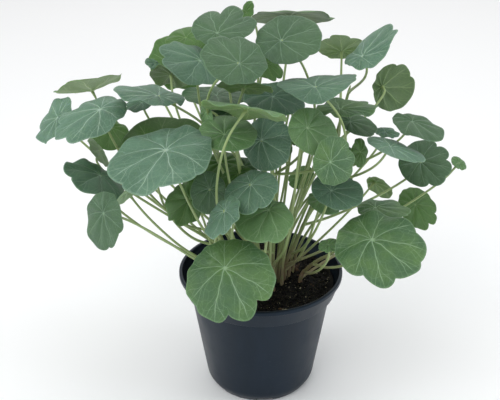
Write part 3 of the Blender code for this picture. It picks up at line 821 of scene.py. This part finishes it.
def add_tube(build, line, radii, sides, kind=0):
    """A closed tube, whose map goes once round it and once from its start to its end."""
    rings = tube(line, radii, sides)
    turns = np.linspace(0, 1, sides, endpoint=False)
    rows = []
    for number, ring in enumerate(rings):
        along = number / (len(rings) - 1)
        rows.append(build.add(ring, [(turn, along) for turn in turns]))
    build.skin(rows, kind)
    build.join([rows[0][::-1], rows[-1]], kind)


def add_stalk(build, blade, rings):
    hub = blade.points(np.float64(0), np.float64(0))
    knots = [rings[0] - unit(rings[1] - rings[0]) * REACH_INTO_STEM, *rings, hub]
    line = smooth_line(knots, STALK_POINTS)
    share = np.linspace(0, 1, STALK_POINTS)
    radii = STALK_RADIUS * (STALK_WIDE - STALK_TAPER * share)
    for (extra, over), away in ((FLARE_AT_BLADE, 1 - share), (FLARE_AT_STEM, share)):
        radii = radii + extra * bell(away, over)
    add_tube(build, line, radii, STALK_SIDES, 2)


print(f"a stalk has {STALK_SIDES * (STALK_POINTS - 1) + 2} faces")

# %% Fine leaves over the coarse ones
def hold(piece, node=None):
    """The piece moves with the part and may stand for a coarse node, which it hides."""
    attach(piece, "root")
    if node:
        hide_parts(node)
    return piece


def grow_leaf(blade, rings):
    build = Build()
    add_blade(build, blade)
    add_stalk(build, blade, rings)
    underside = UNDERSIDES["old" if blade.leaf.tone in OLD_AND_SHADED_TONES else "fresh_and_lit"]
    return build.made("leaf_" + blade.leaf.name, [TOPS[blade.leaf.tone], underside, STALK])


for blade in BLADES:
    fine_leaf = grow_leaf(blade, stalk_line(blade))
    hold(fine_leaf, blade.leaf.name)
print(f"{len(BLADES)} leaves, the last of {len(fine_leaf.data.polygons)} faces")

# %% [markdown]
# ## The small leaves in between
#
# A few smaller leaves fill the gaps between the big ones, and more hide behind the big ones, where
# they fill out the bunch of stalks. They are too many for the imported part's list of pieces, so
# they stand for no solid and only show. Their stalks rise straight from the soil in a loose bunch.
# No coarse ring gives their line, so each tries a straight way first and then wider and wider bows
# to every side. It keeps the first that meets no blade, or else the one that meets the fewest.

# %% The small leaves' places
# Each has the place where its stalk leaves the soil, right of the middle and towards the viewer.
SMALL_LEAVES = (
    (Leaf("back_broad", (181, 60), (32, 29), 0, (180, 66), -78, "deep", notch=0.08), (-10, -20)),
    (Leaf("back_crest", (154, 65), (10, 5), -35, (155, 64), -60, "slate"), (-16, -14)),
    (Leaf("left_tuck", (139, 104), (16, 6), 12, (142, 103), -8, "slate"), (-22, -4)),
    (Leaf("mid_strip", (206, 116), (13, 6), 100, (206, 112), 30, "fresh_and_lit"), (-6, 6)),
    (Leaf("mid_behind", (230, 113), (24, 9), 5, (230, 112), -4, "dusk"), (0, -6)),
    (Leaf("mid_inner", (237, 178), (17, 13), 20, (238, 174), 20, "deep"), (2, 20)),
    (Leaf("top_band", (267, 66), (19, 11), -40, (266, 64), -24, "deep"), (6, -10)),
    (Leaf("right_under", (387, 132), (13, 5), -10, (385, 132), -34, "slate"), (24, -12)),
    (Leaf("mid_fill", (222, 164), (20, 13), 5, (222, 163), -14, "deep"), (-8, -8)),
    (Leaf("low_back", (198, 180), (16, 12), 10, (198, 179), -10, "deep"), (-14, 0)),
    (Leaf("low_fill", (244, 168), (14, 11), -20, (244, 167), -20, "dusk"), (-2, -10)),
)
BUNCH = (  # the same for the hidden leaves: hub, how far it stands forward, and root
    ((262, 150), 12, (4, 4)), ((274, 152), 2, (7, 1)), ((284, 150), -12, (6, -5)),
    ((298, 138), 20, (13, 2)), ((308, 142), 4, (10, 5)), ((320, 138), -14, (16, -6)),
    ((328, 158), 34, (16, 4)), ((338, 168), 12, (12, -2)), ((344, 154), -8, (18, -3)),
    ((340, 192), 18, (19, -9)), ((330, 196), -6, (21, -5)), ((300, 90), 8, (9, 2)),
    ((250, 196), 34, (2, 8)), ((240, 188), 14, (-4, 6)), ((222, 200), 44, (-12, 8)),
    ((318, 126), 26, (15, 6)), ((290, 106), -6, (12, -1)), ((206, 198), 26, (-16, 4)),
)
BUNCH_TONES = ("deep", "dusk", "green")
BUNCH_HALF = (9, 8)
BUNCH_TURN = 25  # degrees from one hidden leaf's slope to the next one's


def hidden_leaves():
    for number, (spot, toward, root) in enumerate(BUNCH):
        tone = BUNCH_TONES[number % len(BUNCH_TONES)]
        slope = BUNCH_TURN * number
        yield Leaf(f"bunch_{number}", spot, BUNCH_HALF, slope, spot, toward, tone), root


print(f"{len(SMALL_LEAVES)} small leaves and {len(BUNCH)} hidden ones")

# %% A free way for a stalk
SOIL_LEVEL = 82.5
BOWS = (0, 0.06, 0.12, 0.2, 0.3, 0.42)  # how far a stalk may bow aside, in spans
BOW_TURNS = 12
LEAVING = 0.35  # how far it rises upright first, in spans
ARRIVING = 0.3  # how far it comes in square to its blade, in spans and at most in millimetres
LONGEST_ARRIVING = 24
CURVE_POINTS = 24
NEAR_HUB = 3  # so many of the curve's last points aren't tested against other blades
NEAR_OWN_HUB = 4  # nor so many against its own
STALK_CLEAR = 1.6
OWN_CLEAR = 0.3


def curve(start, leaving, arriving, end):
    t = np.linspace(0, 1, CURVE_POINTS)[:, None]
    return ((1 - t) ** 3 * start + 3 * t * (1 - t) ** 2 * leaving
            + 3 * t**2 * (1 - t) * arriving + t**3 * end)


def free_stalk(blade, root):
    """A stalk's line from the soil to its blade's hub, and how many blades it meets."""
    start = np.array([root[0], -root[1], SOIL_LEVEL])
    hub = blade.points(np.float64(0), np.float64(0))
    span = np.linalg.norm(hub - start)
    side = unit(np.cross(hub - start, [0.0, 0.0, 1.0]))
    other = unit(np.cross(side, hub - start))
    fewest, best = math.inf, None
    for bow in BOWS:
        for turn in turns_round(BOW_TURNS):
            push = span * bow * (side * math.cos(turn) + other * math.sin(turn))
            leaving = start + np.array([0, 0, LEAVING * span]) + push
            arriving = hub - blade.normal * min(ARRIVING * span, LONGEST_ARRIVING) + push
            line = curve(start, leaving, arriving, hub)
            met = sum(one.meets(line[:-NEAR_HUB], STALK_CLEAR) for one in BLADES)
            met += blade.meets(line[:-NEAR_OWN_HUB], OWN_CLEAR)
            if met < fewest:
                fewest, best = met, line
            if fewest == 0:
                return best, fewest
    return best, fewest


print(f"each stalk has up to {len(BOWS) * BOW_TURNS} ways to try")

# %% Leaves that only show
FIRST_SMALL_SEED = 100
KNOT_STEP = 3  # one in so many of the curve's points is a knot of the fine stalk

for number, (leaf, root) in enumerate([*SMALL_LEAVES, *hidden_leaves()]):
    blade = Blade(leaf, FIRST_SMALL_SEED + number)
    line, met = free_stalk(blade, root)
    hold(grow_leaf(blade, list(line[:-1:KNOT_STEP])))
    print(f"{leaf.name}: its stalk meets {met} blades")

# %% [markdown]
# ## The stems
#
# Six short stems carry the stalks. They are thicker, with slight swellings like the joints that
# stalks grow from, and they go into the soil instead of standing on it.

# %% Fine stems
STEM_NAMES = sorted(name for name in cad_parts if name.startswith("stem_"))
STEM_RADIUS = 1.5
STEM_WIDE = 1.08  # its width at the foot, how much it tapers and how it swells, in stem radii
STEM_TAPER = 0.42
SWELL = 0.16
SWELLINGS = 7
STEM_DEPTH = 4.0
STEM_POINTS = 90
STEM_SIDES = 16
STEM_TIP = (0.92, 0.7, 0.35)  # how the last rings narrow


def grow_stem(name):
    rings = ring_middles(node_points(name))
    foot = rings[0] - np.array([0, 0, STEM_DEPTH])
    line = smooth_line([foot, *rings], STEM_POINTS)
    share = np.linspace(0, 1, STEM_POINTS)
    swell = SWELL * np.maximum(0, np.sin(share * 2 * math.pi * SWELLINGS)) ** 6
    radii = STEM_RADIUS * (STEM_WIDE - STEM_TAPER * share + swell)
    radii[-len(STEM_TIP):] *= STEM_TIP
    build = Build()
    add_tube(build, line, radii, STEM_SIDES)
    return hold(build.made(name + "_bark", [STEM]), name)


stem_pieces = [grow_stem(name) for name in STEM_NAMES]
print(f"{len(stem_pieces)} stems")

# %% [markdown]
# ## The pot
#
# A nursery pot is a thin shell of dark plastic, blown or pressed in one piece: a tapered wall, a
# straight collar that stiffens its top, a small rolled lip and a foot with drain notches. It is
# the same all round, so its half-section is drawn once and turned. Every corner gets a small arc,
# because a pressed corner is never sharp and its round edge is what catches the light. The notches
# and the drain holes are then cut out with Booleans.

# %% The pot's section
RIM_RADIUS = 60.0
POT_HEIGHT = 93.5
FOOT_RADIUS = 36.0
WALL_RADII = (39.7, 51.9)
HEEL_HEIGHT = 8.0
WALL = 1.5
LIP_HEIGHT = 3.2
COLLAR_HEIGHT = 12.0
COLLAR_STEP = 3.1
FLOOR_UNDER = 3.0
FLOOR_TOP = 4.6
PAD_RADIUS = 11.0
LIP_FOOT = POT_HEIGHT - LIP_HEIGHT
COLLAR_FOOT = LIP_FOOT - COLLAR_HEIGHT
POT_STEPS = 192


def wall_radius(height):
    """Outside radius of the pot's body, below the collar."""
    share = (height - FLOOR_UNDER) / (COLLAR_FOOT - FLOOR_UNDER)
    return WALL_RADII[0] + share * (WALL_RADII[1] - WALL_RADII[0])


COLLAR_TOP = RIM_RADIUS - 1.1
COLLAR_LOW = wall_radius(COLLAR_FOOT) + COLLAR_STEP
CORNERS = (  # radius and height of each corner, and how round it is
    (FOOT_RADIUS + 1.4, FLOOR_TOP, 1.2),
    (wall_radius(HEEL_HEIGHT) - WALL, HEEL_HEIGHT, 1.2),
    (wall_radius(COLLAR_FOOT) - WALL, COLLAR_FOOT + 0.6, 0.8),
    (COLLAR_LOW - WALL, COLLAR_FOOT + 1.8, 0.8),
    (COLLAR_TOP - WALL, LIP_FOOT + 0.6, 0.9),
    (RIM_RADIUS - 2.4, POT_HEIGHT, 0.7),
    (RIM_RADIUS, POT_HEIGHT, 0.9),
    (RIM_RADIUS, LIP_FOOT, 0.5),
    (COLLAR_TOP, LIP_FOOT - 0.2, 0.2),
    (COLLAR_LOW, COLLAR_FOOT, 0.5),
    (wall_radius(COLLAR_FOOT - 0.4), COLLAR_FOOT - 0.4, 0.3),
    (wall_radius(HEEL_HEIGHT), HEEL_HEIGHT, 1.4),
    (FOOT_RADIUS + 3.6, 5.4, 1.2),
    (FOOT_RADIUS + 1.8, 2.7, 1.2),
    (FOOT_RADIUS, 0.0, 0.8),
    (FOOT_RADIUS - 3.0, 0.0, 0.4),
    (FOOT_RADIUS - 3.4, FLOOR_UNDER, 0.5),
    (PAD_RADIUS + 1.6, FLOOR_UNDER, 0.6),
    (PAD_RADIUS, 0.0, 0.4),
)


def rounded(corners, start, end, steps=4):
    """A profile whose corners are small curves. Each begins and ends a set length away."""
    profile = [start]
    lines = [start, *((radius, height) for radius, height, _ in corners), end]
    for number, (radius, height, size) in enumerate(corners, 1):
        corner = np.array([radius, height])
        before, after = np.array(lines[number - 1]), np.array(lines[number + 1])
        first = corner + unit(before - corner) * min(size, 0.45 * np.linalg.norm(before - corner))
        last = corner + unit(after - corner) * min(size, 0.45 * np.linalg.norm(after - corner))
        for t in np.linspace(0, 1, steps + 1):
            profile.append(tuple((1 - t) ** 2 * first + 2 * t * (1 - t) * corner + t**2 * last))
    return [*profile, end]


POT_PROFILE = rounded(CORNERS, (0.0, FLOOR_TOP), (0.0, 0.0))
print(f"the pot's section has {len(POT_PROFILE)} points")

# %% [markdown]
# ## Turning and cutting the pot
#
# The cutters for the notches are wedges that stand round the foot, narrower at their top. They and
# the round drain cutters only exist for the cut, and are removed once the pot's mesh is final.

# %% Turning a profile
def turned(name, profile, steps, materials):
    """A profile of (radius, height) points turned once round the upright axis."""
    build = Build()
    rows = []
    for number, (radius, height) in enumerate(profile):
        along = number / (len(profile) - 1)
        turns = turns_round(steps if radius else 1)
        spots = [(radius * math.cos(turn), radius * math.sin(turn), height) for turn in turns]
        rows.append(build.add(spots, [(turn, along) for turn in turns]))
    build.skin(rows, flip=True)
    return build.made(name, materials)


print(f"the pot will be turned in {POT_STEPS} steps")

# %% Cutters for the notches and the drain holes
NOTCHES = 6
NOTCH_TURN = math.radians(5)
NOTCH_WIDTHS = (16.0, 10.5)  # at the ground and at the top of the notch
NOTCH_HEIGHT = 2.8
NOTCH_DEPTH = 12.0
CUT_BELOW = 1.0  # how far a notch's wedge stands out of the foot
DRAIN_HOLES = 6
DRAIN_RADIUS = 3.5
DRAIN_CIRCLE = 22.0
DRAIN_SIDES = 32
DRAIN_DEPTH = 6.0


def fill_notches(shape):
    for number in range(NOTCHES):
        cube = bmesh.ops.create_cube(shape, size=1.0)["verts"]
        for corner in cube:
            width = NOTCH_WIDTHS[0] if corner.co.z < 0 else NOTCH_WIDTHS[1]
            height = NOTCH_HEIGHT if corner.co.z > 0 else -CUT_BELOW
            depth = corner.co.y * NOTCH_DEPTH - FOOT_RADIUS
            corner.co = Vector((corner.co.x * width, depth, height)) * MM
        turn = Matrix.Rotation(NOTCH_TURN + 2 * math.pi * number / NOTCHES, 4, "Z")
        bmesh.ops.transform(shape, matrix=turn, verts=cube)


def fill_drains(shape):
    for number in range(DRAIN_HOLES):
        angle = 2 * math.pi * (number + 0.5) / DRAIN_HOLES
        middle = Vector((math.cos(angle), math.sin(angle), 0)) * DRAIN_CIRCLE * MM
        middle.z = (FLOOR_UNDER + FLOOR_TOP) / 2 * MM
        bmesh.ops.create_cone(
            shape, cap_ends=True, segments=DRAIN_SIDES, radius1=DRAIN_RADIUS * MM,
            radius2=DRAIN_RADIUS * MM, depth=DRAIN_DEPTH * MM,
            matrix=Matrix.Translation(middle))


def cutter_object(fill):
    """A mesh object for one cut, whose shape the function fill makes in an empty bmesh."""
    shape = bmesh.new()
    fill(shape)
    bmesh.ops.recalc_face_normals(shape, faces=shape.faces)
    mesh = bpy.data.meshes.new("cutter")
    shape.to_mesh(mesh)
    shape.free()
    return shown("cutter", mesh)


def cut_out(piece, fills):
    """The piece less each cutter, as a plain mesh with no modifiers left."""
    cutters = [cutter_object(fill) for fill in fills]
    for cutter in cutters:
        modifier = piece.modifiers.new("Cut", "BOOLEAN")
        modifier.object = cutter
        modifier.solver = "EXACT"
    graph = bpy.context.evaluated_depsgraph_get()
    mesh = bpy.data.meshes.new_from_object(piece.evaluated_get(graph))
    piece.modifiers.clear()
    piece.data = mesh
    for cutter in cutters:
        bpy.data.objects.remove(cutter)


print(f"{NOTCHES} notches and {DRAIN_HOLES} drain holes are to be cut")

# %% [markdown]
# ## The pot's plastic
#
# The plastic is nearly black with a blue cast and a satin skin. Under soft light it shows broad
# dull streaks, where handling and dust have changed the gloss. So the colour hardly changes, and
# most of the pattern goes into the roughness. A very fine orange peel in the bump does the rest.

# %% Pot material
SHARP_FROM = math.radians(38)


def pot_material():
    made, w = new_material("pot plastic", {
        "Specular IOR Level": 0.32, "Specular Tint": plain(190, 215, 240)})
    room = w.place_in_room()
    x, y, z = w.axes(room)
    streaks = w.noise(w.joined(x, y, w.times(z, 0.22)), 70.0, 4.0, 0.6)
    smudge = w.noise(room, 38.0, 3.0, 0.6)
    dust = w.noise(room, 700.0, 3.0, 0.7)
    peel = w.noise(room, 1500.0)
    dusty = w.times(w.ramp(dust, 0.56, 0.72), w.ramp(smudge, 0.42, 0.68))
    colour = w.mix(w.ramp(streaks, 0.3, 0.75), plain(16, 24, 33), plain(23, 32, 43))
    colour = w.mix(w.times(dusty, 0.35), colour, plain(70, 76, 80))
    rough = w.math("ADD", w.ramp(streaks, 0.3, 0.7, 0.34, 0.44),
                   w.ramp(smudge, 0.4, 0.7, 0.0, 0.08))
    w.paint(colour, rough, w.math("ADD", peel, w.times(streaks, 1.5)), 0.10, 0.12)
    return made


pot = turned("pot_shell", POT_PROFILE, POT_STEPS, [pot_material()])
cut_out(pot, [fill_notches, fill_drains])
pot.data.shade_smooth()
pot.data.set_sharp_from_angle(angle=SHARP_FROM)
hold(pot, "pot")
print(f"the pot has {len(pot.data.polygons)} faces")

# %% [markdown]
# ## What the soil is made of
#
# Potting mix is fine dark peat with coarser things in it: crumbs, slivers of bark and white beads
# of perlite. Each of the three is a grain of noise between a dark colour and a light one, with
# darker damp patches and a few tan specks, so one function makes them all.

# %% Soil materials
def soil_material(name, dark, light, scale, rough):
    made, w = new_material(name, {"Specular IOR Level": 0.25})
    room = w.place_in_room()
    grain = w.noise(room, scale, 5.0, 0.7)
    damp = w.noise(room, 60.0)
    specks = w.noise(room, 1500.0)
    colour = w.mix(w.ramp(grain, 0.38, 0.68), dark, light)
    colour = w.mix(w.ramp(damp, 0.4, 0.7, 0.0, 0.35), colour, dark)
    colour = w.mix(w.ramp(specks, 0.63, 0.70, 0.0, 0.6), colour, plain(128, 114, 86))
    w.paint(colour, w.ramp(grain, 0.2, 0.8, rough - 0.12, rough), grain, 0.8, 0.5)
    return made


SOIL_FINISHES = [
    soil_material("peat", plain(7, 7, 7), plain(27, 25, 23), 620.0, 0.98),
    soil_material("bark", plain(48, 36, 26), plain(96, 74, 50), 300.0, 0.90),
    soil_material("perlite", plain(132, 122, 100), plain(196, 186, 164), 420.0, 0.95),
]
PEAT, BARK, PERLITE = range(len(SOIL_FINISHES))
print(f"{len(SOIL_FINISHES)} soil materials")

# %% [markdown]
# ## The soil and what lies on it
#
# A flat disc with a speckled picture would look painted on, so the top is a fine grid that noise
# lifts into lumps, and nearly two thousand small stones lie half sunk in it. Each stone is a tiny
# many-sided ball that noise has dented. Two heaps of them stand out in the real pot, and are given
# in a list; chance scatters the rest.

# %% The soil's surface
SOIL_TOP = 83.0
SOIL_SINK = 0.3
SOIL_RINGS = 70
SOIL_SPOKES = 180
GAP = 0.3
SOIL_EDGE = COLLAR_LOW - WALL + 0.35
LUMPS = ((1.5, 0.07, (0, 0, 0)), (0.8, 0.19, (9, 4, 1)))  # height, how close together, shift
CRUMBLE = ((0.75, 0.5, (0, 0, 0)), (0.45, 1.3, (0, 0, 0)))
BANK_WIDTH = 0.14  # the soil banks up at the wall, over this share of its radius
BANK_HEIGHT = 1.0


def bumps(spot, waves):
    return sum(height * noise.noise(spot * close + Vector(shift)) for height, close, shift in waves)


def soil_height(x, y):
    """The height of the soil's surface at a place, lumpy and a little higher at the wall."""
    spot = Vector((x, y, 0))
    bank_foot = (1 - BANK_WIDTH) * SOIL_EDGE
    bank = max(0.0, (math.hypot(x, y) - bank_foot) / (BANK_WIDTH * SOIL_EDGE))
    lumps = bumps(spot, LUMPS) * (1 - 0.5 * bank)
    return SOIL_TOP - SOIL_SINK + lumps + bumps(spot, CRUMBLE) + BANK_HEIGHT * bank**2


def add_surface(build):
    """The soil's lumpy top, its side along the inside of the pot and its flat underside."""
    low = wall_radius(COLLAR_FOOT) - WALL - 2 * GAP
    top = [(SOIL_EDGE * share, None) for share in np.linspace(0, 1, SOIL_RINGS + 1)]
    side = (
        (low + 0.4, COLLAR_FOOT + 1.2),
        (low, COLLAR_FOOT - 0.6),
        (wall_radius(HEEL_HEIGHT) - WALL - 2 * GAP, HEEL_HEIGHT + GAP),
        (FOOT_RADIUS + 1.4 - 2 * GAP, FLOOR_TOP + GAP),
    )
    rows = []
    for radius, height in (*top, *side):
        turns = turns_round(SOIL_SPOKES if radius else 1)
        spots = [(radius * math.cos(turn), radius * math.sin(turn)) for turn in turns]
        rows.append(build.add([(x, y, height or soil_height(x, y)) for x, y in spots], spots))
    build.skin(rows, flip=True)
    build.join([rows[-1][::-1]])


print(f"the soil is {soil_height(0, 0):.1f} mm high in the middle")

# %% The soil and its stones
SOIL_SEED = 11
STONE_MARGIN = 2.6  # no stone is strewn this near the edge
SMALL_STONE = 1.1  # a stone smaller than this has fewer sides
STONE_TILT = 0.5
STONE_LIFT = 0.18  # how far a stone's middle stands over the soil, in stone radii
DENT_DEPTH = 0.30
DENT_SCALE = 1.6
SCATTER = (  # kind, how many, the sizes, how flat and how long
    (PEAT, 1500, (0.35, 1.6), 0.85, 1.15),
    (BARK, 40, (0.7, 1.7), 0.40, 1.9),
    (PERLITE, 240, (0.18, 0.75), 0.85, 1.1),
)
CLUMPS = (  # the same for the two heaps, after their place and their spread
    ((23.0, 15.0), 4.5, BARK, 40, (0.6, 1.6), 0.9, 1.3),
    ((16.5, -41.5), 2.0, PERLITE, 9, (0.8, 1.9), 0.9, 1.3),
)


def add_stone(build, luck, x, y, size, kind, flat, long):
    """A dented ball, half sunk in the soil at x, y."""
    shape = bmesh.new()
    bmesh.ops.create_icosphere(shape, subdivisions=1 if size < SMALL_STONE else 2, radius=1.0)
    turn = Matrix.Rotation(luck.uniform(0, 2 * math.pi), 3, "Z")
    turn = turn @ Matrix.Rotation(luck.uniform(-STONE_TILT, STONE_TILT), 3, "Y")
    offset = Vector(luck.uniform(0, 90, 3))
    middle = Vector((x, y, soil_height(x, y) + STONE_LIFT * size * flat))
    points = []
    for vertex in shape.verts:
        dent = 1 + DENT_DEPTH * noise.noise(vertex.co * DENT_SCALE + offset)
        scaled = Vector((vertex.co.x * long, vertex.co.y, vertex.co.z * flat)) * dent * size
        points.append(tuple(middle + turn @ scaled))
    spots = build.add(points, [(point[0], point[1]) for point in points])
    build.join([[spots[vertex.index] for vertex in face.verts] for face in shape.faces], kind)
    shape.free()


def make_soil():
    build = Build()
    add_surface(build)
    luck = np.random.default_rng(SOIL_SEED)
    for kind, count, (smallest, largest), flat, long in SCATTER:
        for _ in range(count):
            out = (SOIL_EDGE - STONE_MARGIN) * math.sqrt(luck.uniform(0, 1))
            turn = luck.uniform(0, 2 * math.pi)
            size = luck.uniform(0, 1) ** 1.8 * (largest - smallest) + smallest
            x, y = out * math.cos(turn), out * math.sin(turn)
            add_stone(build, luck, x, y, size, kind, flat, long)
    for (x, y), spread, kind, count, sizes, flat, long in CLUMPS:
        for _ in range(count):
            right, back = luck.normal(0, spread / 2), luck.normal(0, spread / 2)
            size = luck.uniform(*sizes)
            add_stone(build, luck, x + right, y + back, size, kind, flat, long)
    return hold(build.made("soil_mix", SOIL_FINISHES), "soil")


soil = make_soil()
print(f"the soil has {len(soil.data.polygons)} faces")

# %% [markdown]
# ## Floor, light and camera
#
# The plant stands on a plain pale floor in soft light from all round, as in a light tent: a white
# room, a big lamp above and in front, and weaker, slightly blue ones at the sides that draw the
# soft upright streaks on the pot. The camera stands where the view above was described from, so
# every leaf falls where it should. The standard view keeps the greens as they are.

# %% The floor
FLOOR_HALF = 4.0


def floor_material():
    made, w = new_material("pale floor", {"Specular IOR Level": 0.1})
    shade = w.noise(w.place_in_room(), 3.0)
    colour = w.mix(shade, (0.96, 0.96, 0.96, 1.0), (0.98, 0.98, 0.98, 1.0))
    w.paint(colour, 0.9, w.noise(w.place_in_room(), 800.0), 0.05, 0.2)
    return made


def make_floor():
    mesh = bpy.data.meshes.new("studio_floor")
    corners = [(x * FLOOR_HALF, y * FLOOR_HALF, 0) for x, y in ((-1, -1), (1, -1), (1, 1), (-1, 1))]
    mesh.from_pydata(corners, [], [(0, 1, 2, 3)])
    mesh.materials.append(floor_material())
    shown("studio_floor", mesh)


make_floor()
print(f"the floor is {2 * FLOOR_HALF:.0f} m across")

# %% Lamps and the white room
WHITE = (1.0, 1.0, 1.0)
COOL = (0.84, 0.93, 1.0)
LIGHTS = (  # name, place, what it shines at, width, height, power and colour
    ("key", (-0.55, -0.95, 1.30), (0, 0, 0.16), 1.1, 0.9, 8.5, WHITE),
    ("top", (0.15, 0.15, 1.45), (0, 0, 0.15), 1.3, 1.3, 5.0, WHITE),
    ("left wall", (-1.20, -0.25, 0.55), (0, 0, 0.12), 0.5, 1.2, 4.5, COOL),
    ("right wall", (1.20, -0.30, 0.55), (0, 0, 0.12), 0.5, 1.2, 5.0, COOL),
    ("back", (0.10, 1.25, 0.90), (0, 0, 0.18), 1.4, 0.8, 2.5, WHITE),
)
ROOM_STRENGTH = 0.55


def soft_light(name, place, aim, width, height, power, colour):
    data = bpy.data.lights.new(name, "AREA")
    data.shape = "RECTANGLE"
    data.size, data.size_y = width, height
    data.energy = power
    data.color = colour
    light = shown(name, data)
    light.location = place
    light.rotation_euler = (Vector(aim) - Vector(place)).to_track_quat("-Z", "Y").to_euler()


for light in LIGHTS:
    soft_light(*light)

world = bpy.data.worlds.new("white room")
bpy.context.scene.world = world
world.use_nodes = True
world.node_tree.nodes["Background"].inputs["Color"].default_value = (*WHITE, 1.0)
world.node_tree.nodes["Background"].inputs["Strength"].default_value = ROOM_STRENGTH
print(f"{len(LIGHTS)} lamps")

# %% The camera
SENSOR_WIDTH = 36.0

camera_data = bpy.data.cameras.new("viewpoint")
camera_data.sensor_width = SENSOR_WIDTH
camera_data.lens = VIEW_SCALE * SENSOR_WIDTH / VIEW_WIDTH
camera = shown("viewpoint", camera_data)
turned_to_view = np.column_stack([RIGHT, UPWARD, -AHEAD, VIEWER * MM])
camera.matrix_world = Matrix([*turned_to_view.tolist(), (0, 0, 0, 1)])
bpy.context.scene.camera = camera
bpy.context.scene.view_settings.view_transform = "Standard"
print(f"the camera's lens is {camera_data.lens:.1f} mm")
